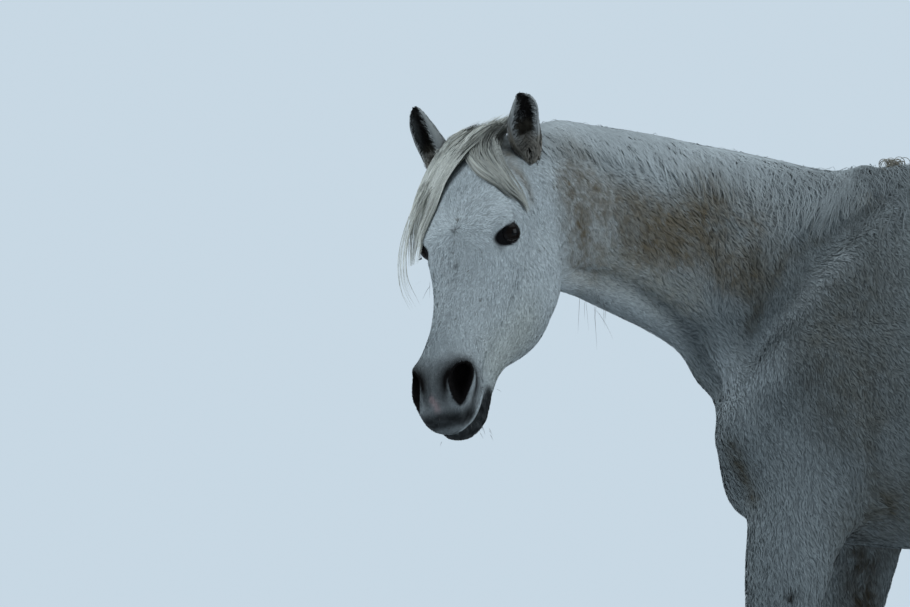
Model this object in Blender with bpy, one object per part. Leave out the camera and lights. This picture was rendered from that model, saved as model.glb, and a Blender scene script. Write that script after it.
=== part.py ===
"""A life-size grey horse that stands with its head turned back to its left, as a still museum model.

The flesh is modelled whole from lofts, joined by a voxel Remesh, smoothed, given its muscles and grooves,
and parted into named pieces with thin cuts. Metres, +Z up. The horse faces -X, its left side is at -Y.
"""

import math

import bmesh
import bpy
import numpy as np
from mathutils import Matrix, Vector
from mathutils.bvhtree import BVHTree

# Driving dimensions. Heights are to the tips of the winter coat.
GAP = 0.0003  # clearance between neighbouring pieces
VOXEL = 0.009  # grain of the joined body
HEAD_FACES = 1400  # triangles of the head before its sockets are cut
BODY_FACES = 2800  # triangles of the rest of the flesh before it is parted
SHARP_ANGLE = math.radians(42)
RING_SIDES = 28
ROWS_PER_SPAN = 4
EYE_RADIUS = 0.0215
EAR_LENGTH = 0.134
MANE_THICKNESS = 0.020
CENTRE_SHIFT = Vector((-0.2365, 0.2577, 0.0))  # brings the bounding box's bottom centre to the origin

# Head pose: the poll's place, the direction of the face line and of the head's left side
POLL = Vector((-0.660, -0.470, 1.545))
FACE_LINE = Vector((-0.034, -0.622, -0.782))
HEAD_LEFT = Vector((0.960, -0.239, 0.149))

# Stance: how far each foot stands ahead of the middle leg shape, and how much the leg swings
STANCE = {
    "fore_left": (0.046, 0.045),
    "fore_right": (-0.020, 0.02),
    "hind_left": (-0.020, -0.05),
    "hind_right": (0.010, 0.06),
}
SIDE = {"left": -1, "right": 1}


# Curves, lofts and masses


def smooth_rows(rows, per_span=ROWS_PER_SPAN):
    """Rows of numbers with more rows between them, on a Catmull-Rom curve."""
    rows = np.array(rows, float)
    padded = np.vstack([2 * rows[0] - rows[1], rows, 2 * rows[-1] - rows[-2]])
    out = []
    for a, b, c, d in zip(padded, padded[1:], padded[2:], padded[3:]):
        for t in np.arange(per_span) / per_span:
            cubic = (3 * b - a - 3 * c + d) * t**3
            square = (2 * a - 5 * b + 4 * c - d) * t**2
            out.append(0.5 * (2 * b + (c - a) * t + square + cubic))
    out.append(rows[-1])
    return np.array(out)


def ring_points(row, tangent, top):
    """One ring's outline, square to tangent: centre, half heights up and down, half width, and
    how far the top and the keel are pinched, and how square the corners are."""
    x, y, z, up, down, side, pinch, keel, square = row
    across = tangent.cross(top).normalized()
    top = across.cross(tangent).normalized()
    points = []
    for i in range(RING_SIDES):
        angle = 2 * math.pi * i / RING_SIDES
        c, s = math.cos(angle), math.sin(angle)
        high = math.copysign(abs(c) ** (2 / square), c) * (up if c > 0 else down)
        wide = math.copysign(abs(s) ** (2 / square), s) * side
        wide *= 1 - pinch * max(0.0, c) ** 1.5 - keel * max(0.0, -c) ** 1.5
        points.append(Vector((x, y, z)) + top * high + across * wide)
    return points


def loft(bm, rings, tops, tangent=None):
    """Adds a closed tube through the rings. tops is one direction, or one for each ring."""
    rows = smooth_rows(rings)
    if isinstance(tops, Vector):
        tops = [tops] * len(rings)
    tops = smooth_rows([list(t) for t in tops])
    centres = [Vector(r[:3]) for r in rows]
    loops = []
    for i, row in enumerate(rows):
        along = tangent or centres[min(i + 1, len(rows) - 1)] - centres[max(i - 1, 0)]
        points = ring_points(row, along.normalized(), Vector(tops[i]).normalized())
        loops.append([bm.verts.new(p) for p in points])
    for a, b in zip(loops, loops[1:]):
        for i in range(RING_SIDES):
            j = (i + 1) % RING_SIDES
            bm.faces.new((a[i], a[j], b[j], b[i]))
    bm.faces.new(loops[0][::-1])
    bm.faces.new(loops[-1])


def profile_loft(bm, profile):
    """A tube along x from rows of x, top, bottom, half width, widest height, pinch, keel, squareness."""
    rings = [
        (x, 0, widest, top - widest, widest - bottom, half, pinch, keel, square)
        for x, top, bottom, half, widest, pinch, keel, square in profile
    ]
    loft(bm, rings, Vector((0, 0, 1)), Vector((1, 0, 0)))


def mass(bm, centre, radii, direction=(1, 0, 0), over=(0, 0, 1)):
    """Adds an ellipsoid with its radii along direction, across, and towards over."""
    ahead = Vector(direction).normalized()
    across = Vector(over).cross(ahead).normalized()
    turn = Matrix((ahead, across, ahead.cross(across))).transposed().to_4x4()
    matrix = Matrix.Translation(centre) @ turn @ Matrix.Diagonal((*radii, 1))
    bmesh.ops.create_icosphere(bm, subdivisions=3, radius=1, matrix=matrix)


def both_sides(bm, centre, radii, direction=(1, 0, 0), over=(0, 0, 1)):
    for side in SIDE.values():
        flip = Vector((1, side, 1))
        mass(bm, Vector(centre) * flip, radii, Vector(direction) * flip, Vector(over) * flip)


# Trunk and neck


def add_trunk(bm):
    profile_loft(bm, [
        (-0.335, 1.12, 0.96, 0.060, 1.04, 0.0, 0.0, 2.0),
        (-0.318, 1.20, 0.905, 0.112, 1.04, 0.0, 0.0, 2.1),
        (-0.270, 1.31, 0.860, 0.158, 1.05, 0.2, 0.1, 2.2),
        (-0.180, 1.43, 0.826, 0.190, 1.07, 0.45, 0.1, 2.2),
        (-0.070, 1.505, 0.810, 0.206, 1.09, 0.58, 0.15, 2.2),
        (0.045, 1.527, 0.802, 0.222, 1.09, 0.60, 0.15, 2.2),
        (0.150, 1.505, 0.798, 0.244, 1.09, 0.50, 0.1, 2.2),
        (0.280, 1.468, 0.800, 0.272, 1.09, 0.30, 0.0, 2.15),
        (0.420, 1.448, 0.815, 0.284, 1.10, 0.20, 0.0, 2.1),
        (0.560, 1.447, 0.842, 0.278, 1.12, 0.15, 0.0, 2.1),
        (0.680, 1.463, 0.880, 0.262, 1.16, 0.12, 0.05, 2.15),
        (0.790, 1.490, 0.930, 0.256, 1.21, 0.15, 0.15, 2.2),
        (0.900, 1.500, 0.985, 0.256, 1.22, 0.22, 0.2, 2.2),
        (1.010, 1.480, 1.03, 0.236, 1.23, 0.28, 0.2, 2.2),
        (1.100, 1.432, 1.08, 0.190, 1.23, 0.25, 0.1, 2.1),
        (1.160, 1.372, 1.14, 0.130, 1.24, 0.1, 0.0, 2.0),
        (1.183, 1.32, 1.19, 0.070, 1.25, 0.0, 0.0, 2.0),
    ])
    both_sides(bm, (-0.055, 0.135, 1.060), (0.190, 0.085, 0.190))  # triceps and elbow
    both_sides(bm, (-0.235, 0.118, 1.015), (0.092, 0.080, 0.105))  # point of the shoulder
    both_sides(bm, (-0.235, 0.075, 0.930), (0.088, 0.070, 0.080))  # breast


# The neck's median plane bends to the horse's left.
NECK = [  # x, y, z, half height up and down, half width, pinch, keel, direction of the crest
    (-0.040, 0.000, 1.195, 0.300, 0.320, 0.165, 0.55, 0.25, (0.50, 0.0, 0.86)),
    (-0.200, 0.000, 1.266, 0.284, 0.262, 0.148, 0.50, 0.25, (0.46, 0.0, 0.88)),
    (-0.305, -0.032, 1.335, 0.216, 0.196, 0.126, 0.42, 0.22, (0.33, 0.0, 0.94)),
    (-0.398, -0.090, 1.379, 0.184, 0.186, 0.104, 0.38, 0.18, (0.25, 0.02, 0.96)),
    (-0.462, -0.165, 1.405, 0.168, 0.183, 0.090, 0.34, 0.14, (0.16, 0.04, 0.98)),
    (-0.520, -0.255, 1.420, 0.158, 0.170, 0.084, 0.30, 0.10, (0.05, 0.03, 0.99)),
    (-0.572, -0.345, 1.428, 0.153, 0.152, 0.082, 0.24, 0.06, (-0.02, 0.02, 1.0)),
    (-0.620, -0.430, 1.442, 0.116, 0.118, 0.076, 0.10, 0.0, (-0.05, 0.0, 1.0)),
]


def add_neck(bm):
    loft(bm, [(*row[:8], 2.0) for row in NECK], [Vector(row[8]) for row in NECK])


# Head, in its own frame: x from the poll along the face line, y to its left, z out of the forehead


def head_matrix():
    ahead = FACE_LINE.normalized()
    left = (HEAD_LEFT - ahead * HEAD_LEFT.dot(ahead)).normalized()
    turn = Matrix((ahead, left, ahead.cross(left))).transposed().to_4x4()
    return Matrix.Translation(POLL) @ turn


def add_head(bm):
    head = bmesh.new()
    profile_loft(head, [  # skull, face and upper lip
        (-0.045, -0.035, -0.125, 0.038, -0.080, 0.0, 0.0, 2.0),
        (-0.012, -0.005, -0.150, 0.058, -0.075, 0.0, 0.1, 2.1),
        (0.040, 0.010, -0.170, 0.072, -0.060, 0.0, 0.1, 2.2),
        (0.095, 0.020, -0.185, 0.080, -0.055, 0.0, 0.1, 2.3),
        (0.150, 0.023, -0.195, 0.087, -0.050, 0.0, 0.15, 2.4),
        (0.205, 0.020, -0.200, 0.086, -0.052, 0.02, 0.20, 2.4),
        (0.255, 0.011, -0.195, 0.086, -0.055, 0.10, 0.20, 2.3),
        (0.305, 0.000, -0.180, 0.074, -0.072, 0.18, 0.20, 2.2),
        (0.360, -0.009, -0.160, 0.063, -0.082, 0.22, 0.15, 2.1),
        (0.420, -0.013, -0.146, 0.055, -0.082, 0.20, 0.10, 2.1),
        (0.475, -0.013, -0.140, 0.055, -0.080, 0.12, 0.05, 2.1),
        (0.520, -0.020, -0.134, 0.059, -0.080, 0.10, 0.0, 2.2),
        (0.562, -0.037, -0.130, 0.054, -0.087, 0.10, 0.0, 2.1),
        (0.592, -0.058, -0.127, 0.041, -0.094, 0.0, 0.0, 2.0),
        (0.607, -0.078, -0.115, 0.022, -0.096, 0.0, 0.0, 2.0),
    ])
    profile_loft(head, [  # lower jaw, chin and lower lip
        (0.060, -0.070, -0.150, 0.040, -0.110, 0.0, 0.0, 2.0),
        (0.085, -0.065, -0.200, 0.060, -0.120, 0.0, 0.1, 2.1),
        (0.130, -0.060, -0.242, 0.076, -0.128, 0.0, 0.12, 2.3),
        (0.185, -0.060, -0.263, 0.083, -0.135, 0.0, 0.08, 2.6),
        (0.245, -0.070, -0.272, 0.083, -0.142, 0.0, 0.08, 2.7),
        (0.300, -0.080, -0.261, 0.078, -0.145, 0.0, 0.12, 2.5),
        (0.345, -0.090, -0.237, 0.067, -0.142, 0.0, 0.15, 2.2),
        (0.390, -0.100, -0.204, 0.058, -0.138, 0.0, 0.10, 2.2),
        (0.440, -0.105, -0.180, 0.051, -0.136, 0.0, 0.0, 2.2),
        (0.490, -0.108, -0.172, 0.049, -0.138, 0.0, 0.0, 2.3),
        (0.540, -0.112, -0.172, 0.047, -0.143, 0.0, 0.0, 2.3),
        (0.573, -0.120, -0.166, 0.037, -0.143, 0.0, 0.0, 2.2),
        (0.590, -0.130, -0.154, 0.019, -0.142, 0.0, 0.0, 2.0),
    ])
    both_sides(head, (0.208, 0.072, -0.016), (0.046, 0.024, 0.018))  # brow
    both_sides(head, (0.150, 0.076, -0.050), (0.060, 0.016, 0.020))  # cheekbone behind the eye
    both_sides(head, (0.523, 0.042, -0.062), (0.044, 0.022, 0.032), (1, 0.05, -0.3))  # nostril wings
    both_sides(head, (0.200, 0.062, -0.168), (0.096, 0.028, 0.078))  # cheek muscle
    both_sides(head, (0.300, 0.064, -0.088), (0.080, 0.014, 0.012), (1, -0.22, -0.2))  # facial crest
    head.transform(head_matrix())
    copy = bpy.data.meshes.new("head_form")
    head.to_mesh(copy)
    bm.from_mesh(copy)
    bpy.data.meshes.remove(copy)
    head.free()


# Legs: rows of height, place along x, half depth ahead and behind, half width, distance from the middle

FORELEG = [
    (1.060, -0.080, 0.120, 0.115, 0.070, 0.122),
    (0.960, -0.095, 0.118, 0.115, 0.074, 0.130),
    (0.870, -0.112, 0.102, 0.105, 0.066, 0.136),
    (0.800, -0.123, 0.094, 0.092, 0.060, 0.136),
    (0.720, -0.132, 0.080, 0.076, 0.054, 0.133),
    (0.640, -0.140, 0.064, 0.062, 0.047, 0.130),
    (0.565, -0.146, 0.052, 0.050, 0.041, 0.127),
    (0.515, -0.150, 0.051, 0.048, 0.045, 0.125),
    (0.470, -0.150, 0.052, 0.049, 0.047, 0.124),
    (0.430, -0.146, 0.044, 0.046, 0.041, 0.123),
    (0.385, -0.143, 0.034, 0.040, 0.031, 0.122),
    (0.300, -0.142, 0.031, 0.038, 0.028, 0.121),
    (0.240, -0.142, 0.036, 0.042, 0.032, 0.120),
    (0.200, -0.144, 0.043, 0.048, 0.038, 0.120),
    (0.165, -0.156, 0.038, 0.044, 0.035, 0.120),
    (0.125, -0.175, 0.034, 0.037, 0.033, 0.120),
    (0.085, -0.193, 0.040, 0.043, 0.040, 0.120),
    (0.045, -0.208, 0.040, 0.042, 0.040, 0.120),
]

HINDLEG = [
    (1.330, 0.985, 0.190, 0.150, 0.095, 0.130),
    (1.220, 0.985, 0.205, 0.190, 0.120, 0.132),
    (1.100, 0.970, 0.190, 0.205, 0.120, 0.142),
    (1.000, 0.955, 0.160, 0.200, 0.108, 0.150),
    (0.920, 0.965, 0.130, 0.160, 0.090, 0.156),
    (0.850, 0.990, 0.104, 0.115, 0.076, 0.155),
    (0.780, 1.018, 0.084, 0.090, 0.064, 0.150),
    (0.710, 1.046, 0.070, 0.086, 0.050, 0.144),
    (0.645, 1.078, 0.058, 0.086, 0.042, 0.139),
    (0.585, 1.105, 0.055, 0.078, 0.040, 0.136),
    (0.535, 1.120, 0.052, 0.060, 0.043, 0.134),
    (0.480, 1.127, 0.046, 0.048, 0.040, 0.132),
    (0.415, 1.127, 0.037, 0.042, 0.032, 0.131),
    (0.325, 1.124, 0.034, 0.039, 0.029, 0.130),
    (0.260, 1.122, 0.038, 0.043, 0.033, 0.129),
    (0.215, 1.119, 0.044, 0.049, 0.039, 0.128),
    (0.175, 1.108, 0.039, 0.044, 0.036, 0.128),
    (0.130, 1.090, 0.035, 0.037, 0.034, 0.128),
    (0.088, 1.072, 0.040, 0.043, 0.040, 0.128),
    (0.045, 1.058, 0.040, 0.042, 0.040, 0.128),
]


def leg_x(name, x, z):
    """Where a point of the leg's middle shape stands, in this horse's stance."""
    ahead, swing = STANCE[name]
    top = 0.95 if name.startswith("fore") else 1.0
    share = min(1.0, max(0.0, (1.15 - z) / 0.3))
    return x - ahead * share - swing * max(0.0, top - z)


def add_leg(bm, name):
    table = FORELEG if name.startswith("fore") else HINDLEG
    side = SIDE[name.split("_")[1]]
    rings = [
        (leg_x(name, x, z), side * y, z, ahead, behind, half, 0.0, 0.1, 2.05)
        for z, x, ahead, behind, half, y in table
    ]
    loft(bm, rings, Vector((-1, 0, 0)))
    if name.startswith("hind"):
        point = Vector((leg_x(name, 1.160, 0.595), side * 0.136, 0.595))
        mass(bm, point, (0.058, 0.025, 0.028), (0.2, 0, 1), (0, 1, 0))
    else:
        point = Vector((leg_x(name, -0.112, 0.485), side * 0.126, 0.485))
        mass(bm, point, (0.034, 0.020, 0.014), (0, 0, 1), (0, 1, 0))  # back of the knee


# Muscles and grooves, as soft strokes: points on the left side are mirrored to the right

STROKES = [  # height, reach, points
    (0.012, 0.045, [(0.00, 0.12, 1.46), (-0.13, 0.17, 1.26), (-0.27, 0.17, 1.03)]),  # spine of the scapula
    (-0.020, 0.034, [(-0.04, 0.09, 1.47), (-0.16, 0.13, 1.33), (-0.26, 0.15, 1.18)]),  # before the scapula
    (-0.009, 0.050, [(0.07, 0.17, 1.42), (0.08, 0.22, 1.18)]),  # behind the scapula
    (0.012, 0.060, [(-0.12, 0.20, 1.14), (0.00, 0.20, 0.98)]),  # long head of the triceps
    (-0.018, 0.045, [(0.06, 0.21, 0.95), (0.045, 0.18, 0.84)]),  # hollow behind the elbow
    (-0.016, 0.028, [(-0.34, 0.0, 1.10), (-0.33, 0.0, 0.88)]),  # groove of the breast
    (0.013, 0.050, [(0.745, 0.235, 1.385)]),  # point of the hip
    (-0.014, 0.070, [(0.60, 0.26, 1.36), (0.70, 0.26, 1.22)]),  # hollow of the flank
    (-0.010, 0.050, [(0.72, 0.25, 1.02), (0.80, 0.24, 1.12)]),  # fold of the flank
    (0.012, 0.070, [(0.86, 0.25, 1.00), (0.88, 0.25, 1.12)]),  # quadriceps above the stifle
    (-0.010, 0.030, [(1.08, 0.17, 1.38), (1.12, 0.21, 1.16), (1.08, 0.22, 0.92)]),  # hamstrings' split
    (-0.018, 0.035, [(1.19, 0.0, 1.30), (1.17, 0.0, 1.08), (1.10, 0.0, 0.92)]),  # between the buttocks
    (-0.006, 0.040, [(0.60, 0.0, 1.46), (0.80, 0.0, 1.50), (1.06, 0.0, 1.47)]),  # groove of the croup
]
LEG_STROKES = [  # on the legs' middle shape: height, reach, front or hind, points
    (-0.011, 0.020, "hind", [(1.085, 0.160, 0.80), (1.118, 0.155, 0.71), (1.142, 0.150, 0.63)]),
    (-0.011, 0.020, "hind", [(1.085, 0.105, 0.80), (1.118, 0.115, 0.71), (1.142, 0.122, 0.63)]),
    (-0.004, 0.012, "hind", [(1.145, 0.160, 0.45), (1.142, 0.158, 0.25)]),
    (-0.004, 0.012, "fore", [(-0.125, 0.150, 0.42), (-0.125, 0.150, 0.25)]),
]
JUGULAR = (-0.012, 0.018)  # height and reach of the jugular grooves
JUGULAR_ANGLE = 130  # degrees round the neck from its crest


def neck_line(angle, first, last):
    """Points along the neck's surface at an angle round from the crest, right side positive."""
    rows = smooth_rows([row[:8] for row in NECK], 1)
    tops = smooth_rows([row[8] for row in NECK], 1)
    line = []
    for i in range(first, last):
        tangent = Vector(rows[min(i + 1, len(rows) - 1)][:3]) - Vector(rows[max(i - 1, 0)][:3])
        ring = ring_points((*rows[i], 2.0), tangent.normalized(), Vector(tops[i]))
        line.append(ring[round(angle / 360 * RING_SIDES) % RING_SIDES])
    return line


def stroke(points, normals, height, reach, path):
    """Raises the surface along a path, with a soft edge."""
    nearest = np.full(len(points), 9.0)
    path = [np.array(p) for p in path]
    for a, b in zip(path, path[1:] or path):
        span = (b - a) @ (b - a)
        t = np.clip((points - a) @ (b - a) / (span or 1.0), 0, 1)
        nearest = np.minimum(nearest, np.linalg.norm(points - a - t[:, None] * (b - a), axis=1))
    points += normals * (height * np.exp(-((nearest / reach) ** 2)))[:, None]


def vertex_arrays(mesh):
    points = np.empty(len(mesh.vertices) * 3)
    mesh.vertices.foreach_get("co", points)
    normals = np.empty(len(mesh.vertices) * 3)
    mesh.vertex_normals.foreach_get("vector", normals)
    return points.reshape(-1, 3), normals.reshape(-1, 3)


def set_points(mesh, points):
    mesh.vertices.foreach_set("co", points.ravel())
    mesh.update()


def relax(mesh, rounds, weight):
    """Laplacian smoothing; weight says how far each vertex goes to its neighbours' middle."""
    edges = np.empty(len(mesh.edges) * 2, int)
    mesh.edges.foreach_get("vertices", edges)
    a, b = edges.reshape(-1, 2).T
    points, _ = vertex_arrays(mesh)
    count = len(points)
    degree = np.bincount(a, minlength=count) + np.bincount(b, minlength=count)
    for _ in range(rounds):
        total = np.stack([
            np.bincount(a, points[b, k], count) + np.bincount(b, points[a, k], count) for k in range(3)
        ], axis=1)
        points += (total / degree[:, None] - points) * weight[:, None]
    set_points(mesh, points)


def ramp(values, low, high):
    return np.clip((values - low) / (high - low), 0, 1)


def head_share(points):
    """1 on the head, 0 on the neck behind it."""
    local = (points - np.array(POLL)) @ np.array(head_matrix().to_3x3())
    beyond = local @ np.array((0.55, 0.0, -0.25)) - 0.005
    return ramp(beyond, -0.03, 0.03) * ramp(-points[:, 1], 0.25, 0.35)


def carved_body():
    """The whole flesh as one smooth mesh."""
    bm = bmesh.new()
    add_trunk(bm)
    add_neck(bm)
    add_head(bm)
    for name in STANCE:
        add_leg(bm, name)
    mesh = bpy.data.meshes.new("body")
    bm.to_mesh(mesh)
    bm.free()
    body = bpy.data.objects.new("body", mesh)
    bpy.context.scene.collection.objects.link(body)
    join = body.modifiers.new("join", "REMESH")
    join.mode = "VOXEL"
    join.voxel_size = VOXEL
    apply_modifiers(body)
    mesh = body.data
    points, _ = vertex_arrays(mesh)
    head = head_share(points)
    low = 1 - ramp(points[:, 2], 0.70, 0.90)
    relax(mesh, 5, np.full(len(points), 0.5))
    relax(mesh, 40, 0.5 * (1 - head) * (1 - low))
    points, normals = vertex_arrays(mesh)
    for height, reach, path in STROKES:
        for side in SIDE.values():
            stroke(points, normals, height, reach, [(x, side * y, z) for x, y, z in path])
    for height, reach, pair, path in LEG_STROKES:
        for name in STANCE:
            if name.startswith(pair):
                side = SIDE[name.split("_")[1]]
                moved = [(leg_x(name, x, z), side * y, z) for x, y, z in path]
                stroke(points, normals, height, reach, moved)
    for angle in (JUGULAR_ANGLE, -JUGULAR_ANGLE):
        stroke(points, normals, *JUGULAR, neck_line(angle, 1, 7))
    set_points(mesh, points)
    return body


def apply_modifiers(obj):
    """Bakes an object's modifiers into a mesh of its own."""
    graph = bpy.context.evaluated_depsgraph_get()
    graph.update()
    mesh = bpy.data.meshes.new_from_object(obj.evaluated_get(graph))
    obj.modifiers.clear()
    old = obj.data
    obj.data = mesh
    bpy.data.meshes.remove(old)
    mesh.name = obj.name


def thin_out(flesh, faces):
    """Large facets, as many as faces."""
    thin = flesh.modifiers.new("facets", "DECIMATE")
    thin.ratio = faces / sum(len(p.vertices) - 2 for p in flesh.data.polygons)
    apply_modifiers(flesh)


# Pieces laid against the body


def new_object(name, bm):
    mesh = bpy.data.meshes.new(name)
    bmesh.ops.triangulate(bm, faces=bm.faces)
    bmesh.ops.recalc_face_normals(bm, faces=bm.faces)
    if bm.calc_volume(signed=True) < 0:
        bmesh.ops.reverse_faces(bm, faces=bm.faces)
    bm.to_mesh(mesh)
    bm.free()
    obj = bpy.data.objects.new(name, mesh)
    bpy.context.scene.collection.objects.link(obj)
    return obj


def closed_rings(rings):
    """A bmesh closed through rings of points, with flat ends."""
    bm = bmesh.new()
    loops = [[bm.verts.new(p) for p in ring] for ring in rings]
    count = len(loops[0])
    for a, b in zip(loops, loops[1:]):
        for i in range(count):
            j = (i + 1) % count
            bm.faces.new((a[i], a[j], b[j], b[i]))
    bm.faces.new(loops[0][::-1])
    bm.faces.new(loops[-1])
    return bm


def sheet(name, tree, rows, thickness, sink=0.005):
    """Hair laid over the body: a closed sheet under and over a grid of guide points. thickness takes
    the share along the sheet and across it."""
    rings = []
    for i, row in enumerate(rows):
        under = []
        over = []
        for j, guide in enumerate(row):
            place, normal, _, _ = tree.find_nearest(guide)
            share = (i / (len(rows) - 1), j / (len(row) - 1))
            under.append(place - normal * sink)
            over.append(place + normal * thickness(*share))
        rings.append(over + under[::-1])
    return new_object(name, closed_rings(rings))


def add_mane(tree):
    """Falls on the right side, from behind the ears to the withers."""
    rows = smooth_rows([row[:8] for row in NECK], 2)
    tops = smooth_rows([row[8] for row in NECK], 2)
    guides = []
    for i in range(2, len(rows) - 2):
        tangent = Vector(rows[i + 1][:3]) - Vector(rows[i - 1][:3])
        ring = ring_points((*rows[i], 2.0), tangent.normalized(), Vector(tops[i]))
        guides.append([ring[k % RING_SIDES] for k in (0, 1, 2, 4, 6, 7)])

    def thickness(along, across):
        ends = min(1.0, 6 * along + 0.35, 6 * (1 - along) + 0.35)
        return 0.002 + MANE_THICKNESS * ends * math.sin(math.pi * (0.02 + 0.88 * across)) ** 0.9

    return sheet("mane", tree, guides, thickness)


def head_path(points, widths, columns=5):
    """Rows of guide points over the head along a path given in the head's frame."""
    matrix = head_matrix()
    path = [Vector(p) for p in smooth_rows(points, 2)]
    wide = smooth_rows([(w,) for w in widths], 2)[:, 0]
    rows = []
    for i, place in enumerate(path):
        along = (path[min(i + 1, len(path) - 1)] - path[max(i - 1, 0)]).normalized()
        across = along.cross(Vector((place.y * -0.2, place.y * 6, 1))).normalized()
        row = []
        for j in range(columns):
            share = 2 * j / (columns - 1) - 1
            row.append(matrix @ (place + across * share * wide[i] + Vector((0, 0, 0.01))))
        rows.append(row)
    return rows


def add_forelock(tree):
    def thickness(along, across):
        return 0.002 + 0.011 * (math.sin(math.pi * (0.10 + 0.80 * across)) * (1 - 0.75 * along)) ** 0.8

    right = head_path(FORELOCK_RIGHT, (0.018, 0.025, 0.027, 0.022, 0.012))
    left = head_path(FORELOCK_LEFT, (0.011, 0.014, 0.014, 0.008))
    return [sheet("forelock_right", tree, right, thickness), sheet("forelock_left", tree, left, thickness)]


FORELOCK_RIGHT = [  # over the far side of the forehead, in the head's frame
    (-0.030, -0.006, 0.010),
    (0.040, -0.030, 0.020),
    (0.095, -0.056, 0.016),
    (0.140, -0.072, 0.006),
    (0.178, -0.080, 0.000),
]
FORELOCK_LEFT = [  # down beside the left ear towards the eye
    (0.026, 0.020, 0.020),
    (0.080, 0.038, 0.020),
    (0.135, 0.062, 0.008),
    (0.180, 0.088, -0.008),
]

EARS = {  # base in the head's frame, direction of the ear, direction of its opening
    "ear_left": ((0.020, 0.072, -0.037), (-0.05, 0.40, 0.92), (0.90, 0.42, 0.0)),
    "ear_right": ((0.034, -0.090, -0.036), (-0.33, -0.11, 0.94), (0.90, -0.42, 0.0)),
}
EAR_BEND_AT = (0.0, 0.25, 0.5, 0.75, 0.9, 1.0)
EAR_BEND = {  # how far each ear's middle line bows outward at those shares of its length
    "left": (0.0, -0.004, -0.004, 0.001, 0.0, -0.007),
    "right": (0.0, 0.002, 0.005, 0.004, -0.001, -0.007),
}
EAR_ROWS = [  # share of the length, half width, depth, degrees the wall wraps to each side, wall
    (-0.14, 0.021, 0.022, 172, 0.016),
    (0.06, 0.027, 0.026, 160, 0.010),
    (0.22, 0.0300, 0.028, 134, 0.0065),
    (0.42, 0.0300, 0.026, 116, 0.005),
    (0.62, 0.0280, 0.022, 106, 0.0045),
    (0.80, 0.0230, 0.016, 100, 0.004),
    (0.93, 0.0145, 0.010, 94, 0.003),
    (1.00, 0.0055, 0.004, 88, 0.001),
]


def add_ear(name, sides=7, per_span=1):
    """A cupped leaf, open on one side, rooted in the head."""
    base, direction, opening = EARS[name]
    turn = head_matrix()
    up = (turn.to_3x3() @ Vector(direction)).normalized()
    front = turn.to_3x3() @ Vector(opening)
    front = (front - up * front.dot(up)).normalized()
    outward = up.cross(front) * -SIDE[name.split("_")[1]]
    root = turn @ Vector(base)
    rings = []
    for share, half, depth, wrap, wall in smooth_rows(EAR_ROWS, per_span):
        lean = float(np.interp(share, EAR_BEND_AT, EAR_BEND[name.split("_")[1]]))
        centre = root + up * share * EAR_LENGTH + outward * lean
        outer = []
        inner = []
        for i in range(sides):
            angle = math.radians(wrap) * (2 * i / (sides - 1) - 1)
            side = up.cross(front) * math.sin(angle)
            back = front * -math.cos(angle)
            outer.append(centre + side * half + back * depth)
            inner.append(centre + side * max(half - wall, 0.0012) + back * max(depth - wall, 0.0010))
        rings.append(outer + inner[::-1])
    return new_object(name, closed_rings(rings))


TAIL = [  # x, z, half depth, half width
    (1.110, 1.395, 0.018, 0.024),
    (1.165, 1.375, 0.024, 0.030),
    (1.207, 1.315, 0.027, 0.036),
    (1.226, 1.220, 0.030, 0.046),
    (1.234, 1.080, 0.032, 0.058),
    (1.238, 0.900, 0.033, 0.068),
    (1.238, 0.700, 0.032, 0.070),
    (1.232, 0.500, 0.028, 0.062),
    (1.224, 0.360, 0.020, 0.042),
    (1.218, 0.280, 0.008, 0.018),
]


def add_tail():
    rings = []
    rows = smooth_rows(TAIL, 1)
    for i, (x, z, depth, half) in enumerate(rows):
        ahead = rows[min(i + 1, len(rows) - 1)][:2] - rows[max(i - 1, 0)][:2]
        along = Vector((ahead[0], 0, ahead[1])).normalized()
        out = Vector((-along.z, 0, along.x))
        rings.append([
            Vector((x, 0, z)) + out * depth * math.cos(a) + Vector((0, half * math.sin(a), 0))
            for a in np.arange(12) / 12 * 2 * math.pi
        ])
    return new_object("tail", closed_rings(rings))


# Hooves

CORONET_HEIGHT = 0.066  # at the middle of the coronet
CORONET_SLOPE = 0.36
CORONET_RADIUS = Vector((0.0455, 0.0425))  # fore and aft, and to the sides
HOOF_ANGLE = math.radians(51)  # of the toe and the heel with the floor
HOOF_SPREAD = 0.013  # how far the walls spread on each side, from coronet to floor


def coronet_centre(name):
    table = FORELEG if name.startswith("fore") else HINDLEG
    (z0, x0, *_), (z1, x1, *_) = table[-2], table[-1]
    x = x0 + (x1 - x0) * (z0 - CORONET_HEIGHT) / (z0 - z1)
    side = SIDE[name.split("_")[1]]
    return Vector((leg_x(name, x, CORONET_HEIGHT), side * table[-1][5], CORONET_HEIGHT))


def add_hoof(name, sides=16):
    centre = coronet_centre(name)
    rings = []
    for share, inset in ((0.0, 0.003), (0.05, 0.0), (0.55, 0.0), (1.0, 0.001)):
        ring = []
        for i in range(sides):
            angle = 2 * math.pi * i / sides
            fore = math.cos(angle) * (CORONET_RADIUS.x - inset)
            side = math.sin(angle) * (CORONET_RADIUS.y - inset)
            top = CORONET_HEIGHT + CORONET_SLOPE * fore - GAP
            z = top * share
            drop = top - z
            x = -fore - drop / math.tan(HOOF_ANGLE) * (1.0 if fore > 0 else 0.86)
            spread = 1 + HOOF_SPREAD / CORONET_RADIUS.y * drop / CORONET_HEIGHT
            ring.append(Vector((centre.x + x, centre.y + side * spread, z)))
        rings.append(ring)
    leg, side = name.split("_")
    return new_object(f"{leg}_hoof_{side}", closed_rings(rings))


# Eyes

EYE_CENTRE = (0.225, 0.0760, -0.0365)  # the left eye, in the head's frame


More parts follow.
